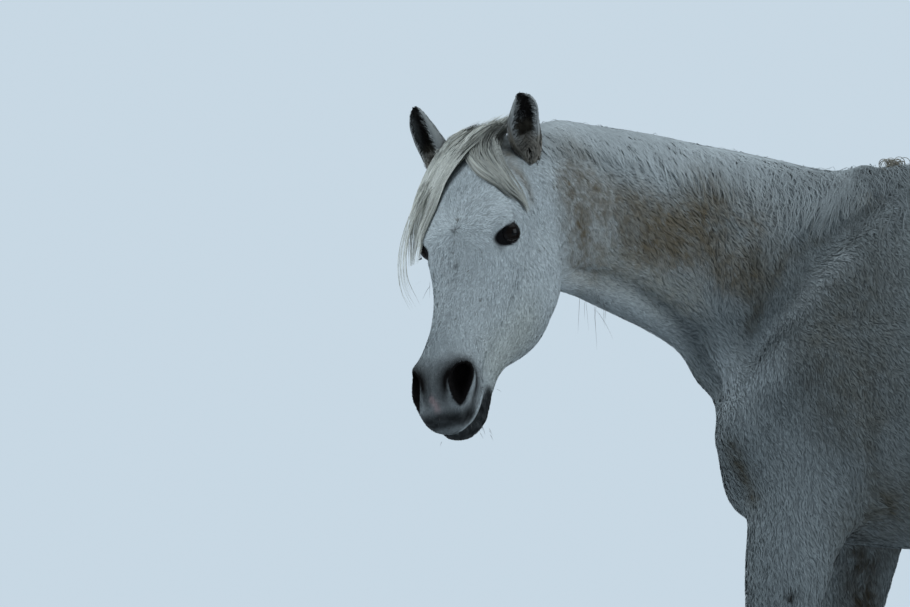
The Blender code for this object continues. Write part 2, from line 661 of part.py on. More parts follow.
def add_eye(side):
    bm = bmesh.new()
    place = Vector(EYE_CENTRE) * Vector((1, -SIDE[side], 1))
    matrix = head_matrix() @ Matrix.Translation(place) @ Matrix.Rotation(math.pi / 2, 4, "X")
    bmesh.ops.create_uvsphere(bm, u_segments=12, v_segments=8, radius=EYE_RADIUS, matrix=matrix)
    return new_object(f"eye_{side}", bm)


# Parting


def cut_out(target, tool, clearance):
    """Takes a piece's shape, with a clearance all round, out of target."""
    cutter = bpy.data.objects.new("cutter_" + tool.name, tool.data.copy())
    bpy.context.scene.collection.objects.link(cutter)
    points, normals = vertex_arrays(cutter.data)
    set_points(cutter.data, points + normals * clearance)
    difference(target, cutter)


def difference(target, cutter):
    cutter.hide_render = True
    cutter.display_type = "WIRE"
    cut = target.modifiers.new("cut", "BOOLEAN")
    cut.operation = "DIFFERENCE"
    cut.solver = "EXACT"
    cut.object = cutter
    apply_modifiers(target)
    bpy.data.objects.remove(cutter)


def slab(bm, place, normal, size, along=(0, 1, 0)):
    """A thin box: place is its middle and normal its thin way."""
    thin = Vector(normal).normalized()
    side = (Vector(along) - thin * thin.dot(Vector(along))).normalized()
    turn = Matrix((thin, side, thin.cross(side))).transposed().to_4x4()
    matrix = Matrix.Translation(place) @ turn @ Matrix.Diagonal((GAP, size[0], size[1], 1))
    bmesh.ops.create_cube(bm, size=1, matrix=matrix)


def cut_head(body):
    """Parts the head from the neck, behind the ears and the jaw, and returns both pieces."""
    head = head_matrix()
    bm = bmesh.new()
    slab(bm, head @ Vector((-0.005, 0, -0.10)), head.to_3x3() @ Vector((1, 0, 0.32)), (0.60, 0.50))
    difference(body, new_object("cut", bm))
    rest, head = sorted(split_islands(body), key=lambda piece: len(piece.data.vertices))[::-1]
    rest.name = "body"
    return head, rest


def part_body(body):
    """Thin cuts at the joints a person would name."""
    up = Vector((0, 0, 1))
    cuts = [
        (Vector((-0.195, 0, 1.275)), Vector((-0.45, 0, 0.29)), (0.60, 0.70)),  # neck
        (Vector((0.150, 0, 1.15)), Vector((1, 0, 0)), (0.9, 0.9)),  # shoulders and barrel
        (Vector((0.730, 0, 1.15)), Vector((1, 0, 0)), (0.9, 0.9)),  # barrel and hindquarters
        (Vector((-0.100, 0, 0.778)), up, (0.60, 0.80)),
        (Vector((1.050, 0, 0.893)), up, (0.60, 0.56)),
        (Vector((-0.100, 0, 0.470)), up, (0.60, 0.80)),
        (Vector((1.100, 0, 0.545)), up, (0.60, 0.56)),
        (Vector((0.500, 0, 0.212)), up, (0.60, 2.00)),
    ]
    for place, normal, size in cuts:
        bm = bmesh.new()
        slab(bm, place, normal, size)
        difference(body, new_object("cut", bm))
    for name in STANCE:
        bm = bmesh.new()
        slab(bm, coronet_centre(name) + Vector((0, 0, GAP / 2)), (CORONET_SLOPE, 0, 1), (0.12, 0.16))
        difference(body, new_object("cut", bm))


def piece_name(centre):
    """What a person calls the piece of flesh round a point."""
    leg = "fore" if centre.x < 0.4 else "hind"
    side = "left" if centre.y < 0 else "right"
    if centre.z < 0.062:
        return None
    if centre.z < 0.19:
        return f"{leg}_pastern_{side}"
    if centre.z < 0.45:
        return f"{leg}_cannon_{side}"
    if centre.z < 0.85:
        return f"{'forearm' if leg == 'fore' else 'gaskin'}_{side}"
    if centre.x > 0.73:
        return "hindquarters"
    if centre.x > 0.15:
        return "barrel"
    if centre.x > -0.28:
        return "forequarters"
    return "neck" if centre.y > -0.42 else "head"


def split_islands(body):
    """One object for each separate piece of the flesh."""
    bm = bmesh.new()
    bm.from_mesh(body.data)
    left = set(bm.verts)
    pieces = []
    while left:
        island = set()
        edge = [left.pop()]
        while edge:
            vert = edge.pop()
            island.add(vert)
            for link in vert.link_edges:
                other = link.other_vert(vert)
                if other in left:
                    left.discard(other)
                    edge.append(other)
        points = [v.co for v in island]
        centre = sum(points, Vector()) / len(points)
        name = piece_name(centre)
        if not name or len(island) < 12:
            continue
        faces = {f for v in island for f in v.link_faces}
        index = {v: i for i, v in enumerate(island)}
        mesh = bpy.data.meshes.new(name)
        mesh.from_pydata([v.co for v in index], [], [[index[v] for v in f.verts] for f in faces])
        piece = bpy.data.objects.new(name, mesh)
        bpy.context.scene.collection.objects.link(piece)
        pieces.append(piece)
    bm.free()
    bpy.data.objects.remove(body)
    return pieces


def tidy(obj):
    """Joins vertices that fell together in the cuts and cuts the faces into triangles."""
    bm = bmesh.new()
    bm.from_mesh(obj.data)
    bmesh.ops.remove_doubles(bm, verts=bm.verts, dist=0.00002)
    bmesh.ops.dissolve_degenerate(bm, edges=bm.edges, dist=0.00002)
    bmesh.ops.triangulate(bm, faces=bm.faces)
    bmesh.ops.recalc_face_normals(bm, faces=bm.faces)
    if bm.calc_volume(signed=True) < 0:
        bmesh.ops.reverse_faces(bm, faces=bm.faces)
    for edge in bm.edges:
        edge.smooth = edge.calc_face_angle(0) < SHARP_ANGLE
    for face in bm.faces:
        face.smooth = True
    bm.to_mesh(obj.data)
    bm.free()


# Colours: linear red, green, blue, and roughness

FINISHES = {
    "coat_grey": ((0.46, 0.48, 0.48), 0.78),
    "face_pale": ((0.56, 0.58, 0.58), 0.74),
    "leg_dusky": ((0.33, 0.33, 0.32), 0.80),
    "hair_pale": ((0.60, 0.62, 0.56), 0.62),
    "ear_dark": ((0.30, 0.31, 0.30), 0.80),
    "hoof_horn": ((0.075, 0.068, 0.058), 0.48),
    "eye_dark": ((0.012, 0.008, 0.006), 0.08),
}


def finish_of(name):
    kind = name.rsplit("_", 1)[0]
    if kind in ("mane", "tail", "forelock"):
        return "hair_pale"
    if kind in ("ear",):
        return "ear_dark"
    if kind in ("eye",):
        return "eye_dark"
    if kind.endswith("hoof"):
        return "hoof_horn"
    if kind == "head":
        return "face_pale"
    if kind.endswith(("cannon", "pastern")):
        return "leg_dusky"
    return "coat_grey"


def paint(obj):
    """Each piece has a material of its own in its finish's colour."""
    colour, roughness = FINISHES[finish_of(obj.name)]
    material = bpy.data.materials.new(f"{finish_of(obj.name)}_{obj.name}")
    material.use_nodes = True
    shader = material.node_tree.nodes["Principled BSDF"]
    shader.inputs["Base Color"].default_value = (*colour, 1)
    shader.inputs["Roughness"].default_value = roughness
    shader.inputs["Metallic"].default_value = 0.0
    material.diffuse_color = (*colour, 1)
    obj.data.materials.clear()
    obj.data.materials.append(material)


def main():
    for old in list(bpy.data.objects):
        bpy.data.objects.remove(old)
    body = carved_body()
    tree = BVHTree.FromObject(body, bpy.context.evaluated_depsgraph_get())
    head, body = cut_head(body)
    thin_out(head, HEAD_FACES)
    thin_out(body, BODY_FACES)
    hair = [add_mane(tree), *add_forelock(tree), add_tail()]
    ears = [add_ear(name) for name in EARS]
    eyes = [add_eye(side) for side in SIDE]
    for piece in hair[:3] + ears:
        cut_out(piece, head, GAP)
    cut_out(hair[0], body, GAP)
    cut_out(body, hair[3], GAP)
    for eye in eyes:
        cut_out(head, eye, GAP)
    for piece in hair[:3]:
        for ear in ears:
            cut_out(piece, ear, GAP)
    cut_out(hair[0], hair[1], GAP)
    cut_out(hair[0], hair[2], GAP)
    cut_out(hair[1], hair[2], GAP)
    part_body(body)
    pieces = [head] + split_islands(body) + hair + ears + eyes
    pieces += [add_hoof(name) for name in STANCE]
    for piece in pieces:
        tidy(piece)
        piece.data.transform(Matrix.Translation(CENTRE_SHIFT))
        paint(piece)


main()
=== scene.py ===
"""Looks of a life-size pale grey horse in winter coat, its head turned back to its left.

One skin covers the whole body a coat's depth inside the solids. Tufts, locks and whiskers are mesh over it.
Metres, +Z up. The horse faces -X and its left side is at -Y. Shapes are made in a working frame and moved
by CENTRE_SHIFT, which brings the bounding box's bottom centre to the origin.
"""

import itertools
import math

import bmesh
import bpy
import numpy as np
from mathutils import Matrix, Vector
from mathutils.bvhtree import BVHTree


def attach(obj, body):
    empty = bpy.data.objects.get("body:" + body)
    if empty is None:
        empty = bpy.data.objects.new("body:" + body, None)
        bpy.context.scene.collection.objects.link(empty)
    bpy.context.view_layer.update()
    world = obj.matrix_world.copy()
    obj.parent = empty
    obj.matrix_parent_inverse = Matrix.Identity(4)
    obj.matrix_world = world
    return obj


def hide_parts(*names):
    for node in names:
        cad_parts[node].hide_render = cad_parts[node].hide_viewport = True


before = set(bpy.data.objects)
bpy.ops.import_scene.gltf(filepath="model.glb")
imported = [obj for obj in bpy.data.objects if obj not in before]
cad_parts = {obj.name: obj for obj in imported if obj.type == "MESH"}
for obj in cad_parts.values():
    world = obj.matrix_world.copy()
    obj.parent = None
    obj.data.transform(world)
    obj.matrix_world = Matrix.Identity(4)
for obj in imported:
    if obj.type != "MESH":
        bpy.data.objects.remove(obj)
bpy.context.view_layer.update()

CENTRE_SHIFT = Vector((-0.2365, 0.2577, 0.0))
SKIN_VOXEL = 0.0105
RING_SIDES = 28
EYE_RADIUS = 0.0215
EAR_LENGTH = 0.134
PATCH = 0.003  # size of a tuft's patch on the bake map
LOCKS = {  # locks in each piece of hair: in full, and a smaller count for a quick build, which is not made
    "mane": (2600, 900),
    "crest": (6500, 2000),
    "tail": (2700, 1200),
}
WIDTHS = {  # of the thinnest and the widest locks
    "mane": (0.0018, 0.0036),
    "crest": (0.0012, 0.0022),
    "forelock": (0.0009, 0.0021),
    "tail": (0.0024, 0.0046),
    "whiskers": (0.0008, 0.0013),
    "curl": (0.0012, 0.0020),
}

POLL = Vector((-0.660, -0.470, 1.545))
FACE_LINE = Vector((-0.034, -0.622, -0.782))
HEAD_LEFT = Vector((0.960, -0.239, 0.149))
STANCE = {  # how far each leg stands ahead, and how much it slants ahead on its way down
    "fore_left": (0.046, 0.045),
    "fore_right": (-0.020, 0.02),
    "hind_left": (-0.020, -0.05),
    "hind_right": (0.010, 0.06),
}
SIDE = {"left": -1, "right": 1}
rng = np.random.default_rng(11)


# Curves, lofts and masses, as the solids are made


def smooth_rows(rows, per_span=4):
    """Rows of numbers with more rows between them, on a Catmull-Rom curve."""
    rows = np.array(rows, float)
    padded = np.vstack([2 * rows[0] - rows[1], rows, 2 * rows[-1] - rows[-2]])
    out = []
    for a, b, c, d in zip(padded, padded[1:], padded[2:], padded[3:]):
        for t in np.arange(per_span) / per_span:
            cubic = (3 * b - a - 3 * c + d) * t**3
            square = (2 * a - 5 * b + 4 * c - d) * t**2
            out.append(0.5 * (2 * b + (c - a) * t + square + cubic))
    out.append(rows[-1])
    return np.array(out)


def ring_points(row, tangent, top):
    """One ring's outline, square to tangent: centre, half heights up and down, half width, and
    how far the top and the keel are pinched, and how square the corners are."""
    x, y, z, up, down, side, pinch, keel, square = row
    across = tangent.cross(top).normalized()
    top = across.cross(tangent).normalized()
    points = []
    for i in range(RING_SIDES):
        angle = 2 * math.pi * i / RING_SIDES
        c, s = math.cos(angle), math.sin(angle)
        high = math.copysign(abs(c) ** (2 / square), c) * (up if c > 0 else down)
        wide = math.copysign(abs(s) ** (2 / square), s) * side
        wide *= 1 - pinch * max(0.0, c) ** 1.5 - keel * max(0.0, -c) ** 1.5
        points.append(Vector((x, y, z)) + top * high + across * wide)
    return points


def bridge(bm, rings):
    """Closes a bmesh through rings of points, with flat ends."""
    loops = [[bm.verts.new(p) for p in ring] for ring in rings]
    count = len(loops[0])
    for a, b in zip(loops, loops[1:]):
        for i in range(count):
            j = (i + 1) % count
            bm.faces.new((a[i], a[j], b[j], b[i]))
    bm.faces.new(loops[0][::-1])
    bm.faces.new(loops[-1])


def loft(bm, rings, tops, tangent=None):
    """Adds a closed tube through the rings. tops is one direction, or one for each ring."""
    rows = smooth_rows(rings)
    if isinstance(tops, Vector):
        tops = [tops] * len(rings)
    tops = smooth_rows([list(t) for t in tops])
    centres = [Vector(r[:3]) for r in rows]
    outlines = []
    for i, row in enumerate(rows):
        along = tangent or centres[min(i + 1, len(rows) - 1)] - centres[max(i - 1, 0)]
        outlines.append(ring_points(row, along.normalized(), Vector(tops[i]).normalized()))
    bridge(bm, outlines)


def profile_loft(bm, profile):
    """A tube along x from rows of x, top, bottom, half width, widest height, pinch, keel, squareness."""
    rings = [
        (x, 0, widest, top - widest, widest - bottom, half, pinch, keel, square)
        for x, top, bottom, half, widest, pinch, keel, square in profile
    ]
    loft(bm, rings, Vector((0, 0, 1)), Vector((1, 0, 0)))


def mass(bm, centre, radii, direction=(1, 0, 0), over=(0, 0, 1)):
    """Adds an ellipsoid with its radii along direction, across, and towards over."""
    ahead = Vector(direction).normalized()
    across = Vector(over).cross(ahead).normalized()
    turn = Matrix((ahead, across, ahead.cross(across))).transposed().to_4x4()
    matrix = Matrix.Translation(centre) @ turn @ Matrix.Diagonal((*radii, 1))
    bmesh.ops.create_icosphere(bm, subdivisions=4, radius=1, matrix=matrix)


def both_sides(bm, centre, radii, direction=(1, 0, 0), over=(0, 0, 1)):
    """A mass and its mirror image."""
    for side in SIDE.values():
        flip = Vector((1, side, 1))
        mass(bm, Vector(centre) * flip, radii, Vector(direction) * flip, Vector(over) * flip)


TRUNK = [  # x, top, bottom, half width, widest height, pinch, keel, squareness
    (-0.335, 1.12, 0.96, 0.060, 1.04, 0.0, 0.0, 2.0),
    (-0.318, 1.20, 0.905, 0.112, 1.04, 0.0, 0.0, 2.1),
    (-0.270, 1.31, 0.860, 0.158, 1.05, 0.2, 0.1, 2.2),
    (-0.180, 1.43, 0.826, 0.190, 1.07, 0.45, 0.1, 2.2),
    (-0.070, 1.505, 0.810, 0.206, 1.09, 0.58, 0.15, 2.2),
    (0.045, 1.527, 0.802, 0.222, 1.09, 0.60, 0.15, 2.2),
    (0.150, 1.505, 0.798, 0.244, 1.09, 0.50, 0.1, 2.2),
    (0.280, 1.468, 0.800, 0.272, 1.09, 0.30, 0.0, 2.15),
    (0.420, 1.448, 0.815, 0.284, 1.10, 0.20, 0.0, 2.1),
    (0.560, 1.447, 0.842, 0.278, 1.12, 0.15, 0.0, 2.1),
    (0.680, 1.463, 0.880, 0.262, 1.16, 0.12, 0.05, 2.15),
    (0.790, 1.490, 0.930, 0.256, 1.21, 0.15, 0.15, 2.2),
    (0.900, 1.500, 0.985, 0.256, 1.22, 0.22, 0.2, 2.2),
    (1.010, 1.480, 1.03, 0.236, 1.23, 0.28, 0.2, 2.2),
    (1.100, 1.432, 1.08, 0.190, 1.23, 0.25, 0.1, 2.1),
    (1.160, 1.372, 1.14, 0.130, 1.24, 0.1, 0.0, 2.0),
    (1.183, 1.32, 1.19, 0.070, 1.25, 0.0, 0.0, 2.0),
]
TRUNK_MASSES = [  # on the left: centre, radii
    ((-0.055, 0.135, 1.060), (0.190, 0.085, 0.190)),  # triceps and elbow
    ((-0.235, 0.118, 1.015), (0.092, 0.080, 0.105)),  # point of the shoulder
    ((-0.235, 0.075, 0.930), (0.088, 0.070, 0.080)),  # breast
]


def add_trunk(bm):
    profile_loft(bm, TRUNK)
    for row in TRUNK_MASSES:
        both_sides(bm, *row)


# The neck's median plane bends to the horse's left.
NECK = [  # x, y, z, half height up and down, half width, pinch, keel, direction of the crest
    (-0.040, 0.000, 1.195, 0.300, 0.320, 0.165, 0.55, 0.25, (0.50, 0.0, 0.86)),
    (-0.200, 0.000, 1.266, 0.284, 0.262, 0.148, 0.50, 0.25, (0.46, 0.0, 0.88)),
    (-0.305, -0.032, 1.335, 0.216, 0.196, 0.126, 0.42, 0.22, (0.33, 0.0, 0.94)),
    (-0.398, -0.090, 1.379, 0.184, 0.186, 0.104, 0.38, 0.18, (0.25, 0.02, 0.96)),
    (-0.462, -0.165, 1.405, 0.168, 0.183, 0.090, 0.34, 0.14, (0.16, 0.04, 0.98)),
    (-0.520, -0.255, 1.420, 0.158, 0.170, 0.084, 0.30, 0.10, (0.05, 0.03, 0.99)),
    (-0.572, -0.345, 1.428, 0.153, 0.152, 0.082, 0.24, 0.06, (-0.02, 0.02, 1.0)),
    (-0.620, -0.430, 1.442, 0.116, 0.118, 0.076, 0.10, 0.0, (-0.05, 0.0, 1.0)),
]


def neck_rings(per_span):
    """The neck's outlines, from the withers to the poll: an array of rings, points and x, y, z."""
    rows = smooth_rows([row[:8] for row in NECK], per_span)
    tops = smooth_rows([row[8] for row in NECK], per_span)
    rings = []
    for i, row in enumerate(rows):
        tangent = Vector(rows[min(i + 1, len(rows) - 1)][:3]) - Vector(rows[max(i - 1, 0)][:3])
        rings.append([list(p) for p in ring_points((*row, 2.0), tangent.normalized(), Vector(tops[i]))])
    return np.array(rings)


def add_neck(bm):
    loft(bm, [(*row[:8], 2.0) for row in NECK], [Vector(row[8]) for row in NECK])


# Head, in its own frame: x from the poll along the face line, y to its left, z out of the forehead


def head_matrix():
    ahead = FACE_LINE.normalized()
    left = (HEAD_LEFT - ahead * HEAD_LEFT.dot(ahead)).normalized()
    turn = Matrix((ahead, left, ahead.cross(left))).transposed().to_4x4()
    return Matrix.Translation(POLL) @ turn


HEAD = head_matrix()
HEAD_AXES = np.array(HEAD.to_3x3())


def in_head(points):
    """Points of the working frame in the head's own frame."""
    return (points - np.array(POLL)) @ HEAD_AXES


SKULL = [  # skull, face and upper lip, in the same columns as the trunk
    (-0.045, -0.035, -0.125, 0.038, -0.080, 0.0, 0.0, 2.0),
    (-0.012, -0.005, -0.150, 0.058, -0.075, 0.0, 0.1, 2.1),
    (0.040, 0.010, -0.170, 0.072, -0.060, 0.0, 0.1, 2.2),
    (0.095, 0.020, -0.185, 0.080, -0.055, 0.0, 0.1, 2.3),
    (0.150, 0.023, -0.195, 0.087, -0.050, 0.0, 0.15, 2.4),
    (0.205, 0.020, -0.200, 0.086, -0.052, 0.02, 0.20, 2.4),
    (0.255, 0.011, -0.195, 0.086, -0.055, 0.10, 0.20, 2.3),
    (0.305, 0.000, -0.180, 0.074, -0.072, 0.18, 0.20, 2.2),
    (0.360, -0.009, -0.160, 0.063, -0.082, 0.22, 0.15, 2.1),
    (0.420, -0.013, -0.146, 0.055, -0.082, 0.20, 0.10, 2.1),
    (0.475, -0.013, -0.140, 0.055, -0.080, 0.12, 0.05, 2.1),
    (0.520, -0.020, -0.134, 0.059, -0.080, 0.10, 0.0, 2.2),
    (0.562, -0.037, -0.130, 0.054, -0.087, 0.10, 0.0, 2.1),
    (0.592, -0.058, -0.127, 0.041, -0.094, 0.0, 0.0, 2.0),
    (0.607, -0.078, -0.115, 0.022, -0.096, 0.0, 0.0, 2.0),
]
JAW = [  # lower jaw, chin and lower lip
    (0.060, -0.070, -0.150, 0.040, -0.110, 0.0, 0.0, 2.0),
    (0.085, -0.065, -0.200, 0.060, -0.120, 0.0, 0.1, 2.1),
    (0.130, -0.060, -0.242, 0.076, -0.128, 0.0, 0.12, 2.3),
    (0.185, -0.060, -0.263, 0.083, -0.135, 0.0, 0.08, 2.6),
    (0.245, -0.070, -0.272, 0.083, -0.142, 0.0, 0.08, 2.7),
    (0.300, -0.080, -0.261, 0.078, -0.145, 0.0, 0.12, 2.5),
    (0.345, -0.090, -0.237, 0.067, -0.142, 0.0, 0.15, 2.2),
    (0.390, -0.100, -0.204, 0.058, -0.138, 0.0, 0.10, 2.2),
    (0.440, -0.105, -0.180, 0.051, -0.136, 0.0, 0.0, 2.2),
    (0.490, -0.108, -0.172, 0.049, -0.138, 0.0, 0.0, 2.3),
    (0.540, -0.112, -0.172, 0.047, -0.143, 0.0, 0.0, 2.3),
    (0.573, -0.120, -0.166, 0.037, -0.143, 0.0, 0.0, 2.2),
    (0.590, -0.130, -0.154, 0.019, -0.142, 0.0, 0.0, 2.0),
]
HEAD_MASSES = [  # on the left: centre, radii, and some with a direction
    ((0.208, 0.072, -0.016), (0.046, 0.024, 0.018)),  # brow
    ((0.150, 0.076, -0.050), (0.060, 0.016, 0.020)),  # cheekbone behind the eye
    ((0.523, 0.042, -0.062), (0.044, 0.022, 0.032), (1, 0.05, -0.3)),  # nostril wings
    ((0.200, 0.062, -0.168), (0.096, 0.028, 0.078)),  # cheek muscle
    ((0.300, 0.064, -0.088), (0.080, 0.014, 0.012), (1, -0.22, -0.2)),  # facial crest
]


def add_head(bm):
    """The head, made in its own frame."""
    head = bmesh.new()
    profile_loft(head, SKULL)
    profile_loft(head, JAW)
    for row in HEAD_MASSES:
        both_sides(head, *row)
    head.transform(HEAD)
    copy = bpy.data.meshes.new("head_form")
    head.to_mesh(copy)
    bm.from_mesh(copy)
    bpy.data.meshes.remove(copy)
    head.free()


# Legs: rows of height, place along x, half depth ahead and behind, half width, distance from the middle

FORELEG = [
    (1.060, -0.080, 0.120, 0.115, 0.070, 0.122),
    (0.960, -0.095, 0.118, 0.115, 0.074, 0.130),
    (0.870, -0.112, 0.102, 0.105, 0.066, 0.136),
    (0.800, -0.123, 0.094, 0.092, 0.060, 0.136),
    (0.720, -0.132, 0.080, 0.076, 0.054, 0.133),
    (0.640, -0.140, 0.064, 0.062, 0.047, 0.130),
    (0.565, -0.146, 0.052, 0.050, 0.041, 0.127),
    (0.515, -0.150, 0.051, 0.048, 0.045, 0.125),
    (0.470, -0.150, 0.052, 0.049, 0.047, 0.124),
    (0.430, -0.146, 0.044, 0.046, 0.041, 0.123),
    (0.385, -0.143, 0.034, 0.040, 0.031, 0.122),
    (0.300, -0.142, 0.031, 0.038, 0.028, 0.121),
    (0.240, -0.142, 0.036, 0.042, 0.032, 0.120),
    (0.200, -0.144, 0.043, 0.048, 0.038, 0.120),
    (0.165, -0.156, 0.038, 0.044, 0.035, 0.120),
    (0.125, -0.175, 0.034, 0.037, 0.033, 0.120),
    (0.085, -0.193, 0.040, 0.043, 0.040, 0.120),
    (0.045, -0.208, 0.040, 0.042, 0.040, 0.120),
]

HINDLEG = [
    (1.330, 0.985, 0.190, 0.150, 0.095, 0.130),
    (1.220, 0.985, 0.205, 0.190, 0.120, 0.132),
    (1.100, 0.970, 0.190, 0.205, 0.120, 0.142),
    (1.000, 0.955, 0.160, 0.200, 0.108, 0.150),
    (0.920, 0.965, 0.130, 0.160, 0.090, 0.156),
    (0.850, 0.990, 0.104, 0.115, 0.076, 0.155),
    (0.780, 1.018, 0.084, 0.090, 0.064, 0.150),
    (0.710, 1.046, 0.070, 0.086, 0.050, 0.144),
    (0.645, 1.078, 0.058, 0.086, 0.042, 0.139),
    (0.585, 1.105, 0.055, 0.078, 0.040, 0.136),
    (0.535, 1.120, 0.052, 0.060, 0.043, 0.134),
    (0.480, 1.127, 0.046, 0.048, 0.040, 0.132),
    (0.415, 1.127, 0.037, 0.042, 0.032, 0.131),
    (0.325, 1.124, 0.034, 0.039, 0.029, 0.130),
    (0.260, 1.122, 0.038, 0.043, 0.033, 0.129),
    (0.215, 1.119, 0.044, 0.049, 0.039, 0.128),
    (0.175, 1.108, 0.039, 0.044, 0.036, 0.128),
    (0.130, 1.090, 0.035, 0.037, 0.034, 0.128),
    (0.088, 1.072, 0.040, 0.043, 0.040, 0.128),
    (0.045, 1.058, 0.040, 0.042, 0.040, 0.128),
]


def leg_table(name):
    return FORELEG if name.startswith("fore") else HINDLEG


def leg_side(name):
    return SIDE[name.split("_")[1]]


def leg_x(name, x, z):
    """Where a point of the leg's middle shape stands, in this horse's stance."""
    ahead, swing = STANCE[name]
    top = 0.95 if name.startswith("fore") else 1.0
    share = np.clip((1.15 - z) / 0.3, 0, 1)
    return x - ahead * share - swing * np.maximum(0.0, top - z)


def add_leg(bm, name):
    """One leg, with its point of hock or the bone behind its knee."""
    side = leg_side(name)
    rings = [
        (leg_x(name, x, z), side * y, z, ahead, behind, half, 0.0, 0.1, 2.05)
        for z, x, ahead, behind, half, y in leg_table(name)
    ]
    loft(bm, rings, Vector((-1, 0, 0)))
    if name.startswith("hind"):
        point = Vector((leg_x(name, 1.160, 0.595), side * 0.136, 0.595))
        mass(bm, point, (0.058, 0.025, 0.028), (0.2, 0, 1), (0, 1, 0))
    else:
        point = Vector((leg_x(name, -0.112, 0.485), side * 0.126, 0.485))
        mass(bm, point, (0.034, 0.020, 0.014), (0, 0, 1), (0, 1, 0))  # back of the knee


# Muscles and grooves, as soft strokes: points on the left side are mirrored to the right

STROKES = [  # height, reach, points
    (0.012, 0.045, [(0.00, 0.12, 1.46), (-0.13, 0.17, 1.26), (-0.27, 0.17, 1.03)]),  # spine of the scapula
    (-0.02, 0.034, [(-0.04, 0.09, 1.47), (-0.16, 0.13, 1.33), (-0.26, 0.15, 1.18)]),  # before the scapula
    (-0.009, 0.050, [(0.07, 0.17, 1.42), (0.08, 0.22, 1.18)]),  # behind the scapula
    (0.012, 0.060, [(-0.12, 0.20, 1.14), (0.00, 0.20, 0.98)]),  # long head of the triceps
    (-0.018, 0.045, [(0.06, 0.21, 0.95), (0.045, 0.18, 0.84)]),  # hollow behind the elbow
    (-0.016, 0.028, [(-0.34, 0.0, 1.10), (-0.33, 0.0, 0.88)]),  # groove of the breast
    (0.013, 0.050, [(0.745, 0.235, 1.385)]),  # point of the hip
    (-0.014, 0.070, [(0.60, 0.26, 1.36), (0.70, 0.26, 1.22)]),  # hollow of the flank
    (-0.010, 0.050, [(0.72, 0.25, 1.02), (0.80, 0.24, 1.12)]),  # fold of the flank
    (0.012, 0.070, [(0.86, 0.25, 1.00), (0.88, 0.25, 1.12)]),  # quadriceps above the stifle
    (-0.010, 0.030, [(1.08, 0.17, 1.38), (1.12, 0.21, 1.16), (1.08, 0.22, 0.92)]),  # hamstrings' split
    (-0.018, 0.035, [(1.19, 0.0, 1.30), (1.17, 0.0, 1.08), (1.10, 0.0, 0.92)]),  # between the buttocks
    (-0.006, 0.040, [(0.60, 0.0, 1.46), (0.80, 0.0, 1.50), (1.06, 0.0, 1.47)]),  # groove of the croup
]
LEG_STROKES = [  # on the legs' middle shape: height, reach, front or hind, points
    (-0.011, 0.020, "hind", [(1.085, 0.160, 0.80), (1.118, 0.155, 0.71), (1.142, 0.150, 0.63)]),
    (-0.011, 0.020, "hind", [(1.085, 0.105, 0.80), (1.118, 0.115, 0.71), (1.142, 0.122, 0.63)]),
    (-0.004, 0.012, "hind", [(1.145, 0.160, 0.45), (1.142, 0.158, 0.25)]),
    (-0.004, 0.012, "fore", [(-0.125, 0.150, 0.42), (-0.125, 0.150, 0.25)]),
]
CREASE = [  # the jugular groove on the left side, from the jaw to the breast
    (-0.516, -0.342, 1.299),
    (-0.479, -0.272, 1.297),
    (-0.456, -0.227, 1.287),
    (-0.426, -0.178, 1.264),
    (-0.400, -0.144, 1.240),
    (-0.366, -0.111, 1.199),
    (-0.352, -0.092, 1.155),
    (-0.330, -0.089, 1.110),
]
WINDPIPE = [
    (-0.505, -0.300, 1.272),
    (-0.446, -0.171, 1.237),
    (-0.411, -0.074, 1.186),
    (-0.375, -0.050, 1.110),
]
SHOULDER_GROOVE = [  # along the front edge of the shoulder blade
    (-0.027, -0.062, 1.447), (-0.076, -0.073, 1.414), (-0.128, -0.090, 1.381), (-0.187, -0.119, 1.349),
    (-0.222, -0.132, 1.281), (-0.258, -0.123, 1.217), (-0.280, -0.120, 1.183),
]
ELBOW_GROOVE = [  # behind the triceps, down to the elbow
    (-0.033, -0.204, 1.167), (-0.021, -0.223, 1.082), (-0.018, -0.223, 1.009), (-0.017, -0.186, 0.918),
    (-0.044, -0.102, 0.846),
]
LEFT_STROKES = [  # the same, on paths given on the left and followed on both sides
    (-0.016, 0.011, CREASE),
    (-0.006, 0.030, CREASE),
    (0.005, 0.024, WINDPIPE),
    (-0.007, 0.016, SHOULDER_GROOVE),
    (-0.005, 0.015, ELBOW_GROOVE),
]
HEAD_STROKES = [  # in the head's frame, laid on the skin: height, reach, points
    (0.003, 0.007, [(0.262, 0.09, -0.082), (0.31, 0.078, -0.094), (0.362, 0.064, -0.104)]),  # facial crest
    (-0.003, 0.012, [(0.275, 0.075, -0.05), (0.34, 0.058, -0.06), (0.42, 0.05, -0.066)]),  # beside the nose
    (-0.006, 0.015, [(0.150, 0.075, -0.008), (0.176, 0.080, -0.014)]),  # hollow above the eye
    (0.0016, 0.0035, [(0.3, 0.08, -0.2), (0.32, 0.078, -0.16), (0.37, 0.066, -0.12)]),  # facial vein
    (0.0014, 0.003, [(0.370, 0.066, -0.120), (0.415, 0.060, -0.095)]),
    (-0.004, 0.010, [(0.430, 0.054, -0.110), (0.485, 0.052, -0.108)]),  # behind the nostril
    (-0.003, 0.010, [(0.490, 0.040, -0.170), (0.500, 0.0, -0.178)]),  # before the chin
    (0.003, 0.010, [(0.535, 0.030, -0.176), (0.535, 0.0, -0.180)]),  # chin
    (-0.003, 0.006, [(0.1, 0.075, -0.205), (0.15, 0.08, -0.19), (0.13, 0.082, -0.12)]),  # cheek's edge
    (-0.0015, 0.003, [(0.205, 0.095, -0.062), (0.235, 0.094, -0.068), (0.262, 0.09, -0.058)]),  # lower lid
    (-0.0012, 0.003, [(0.185, 0.09, -0.012), (0.215, 0.094, -0.006), (0.25, 0.088, -0.012)]),  # brow fold
]
MOUTH_DEPTH = 0.0065
MOUTH_REACH = 0.0034
LIPS = (0.55, 0.03, -0.125)
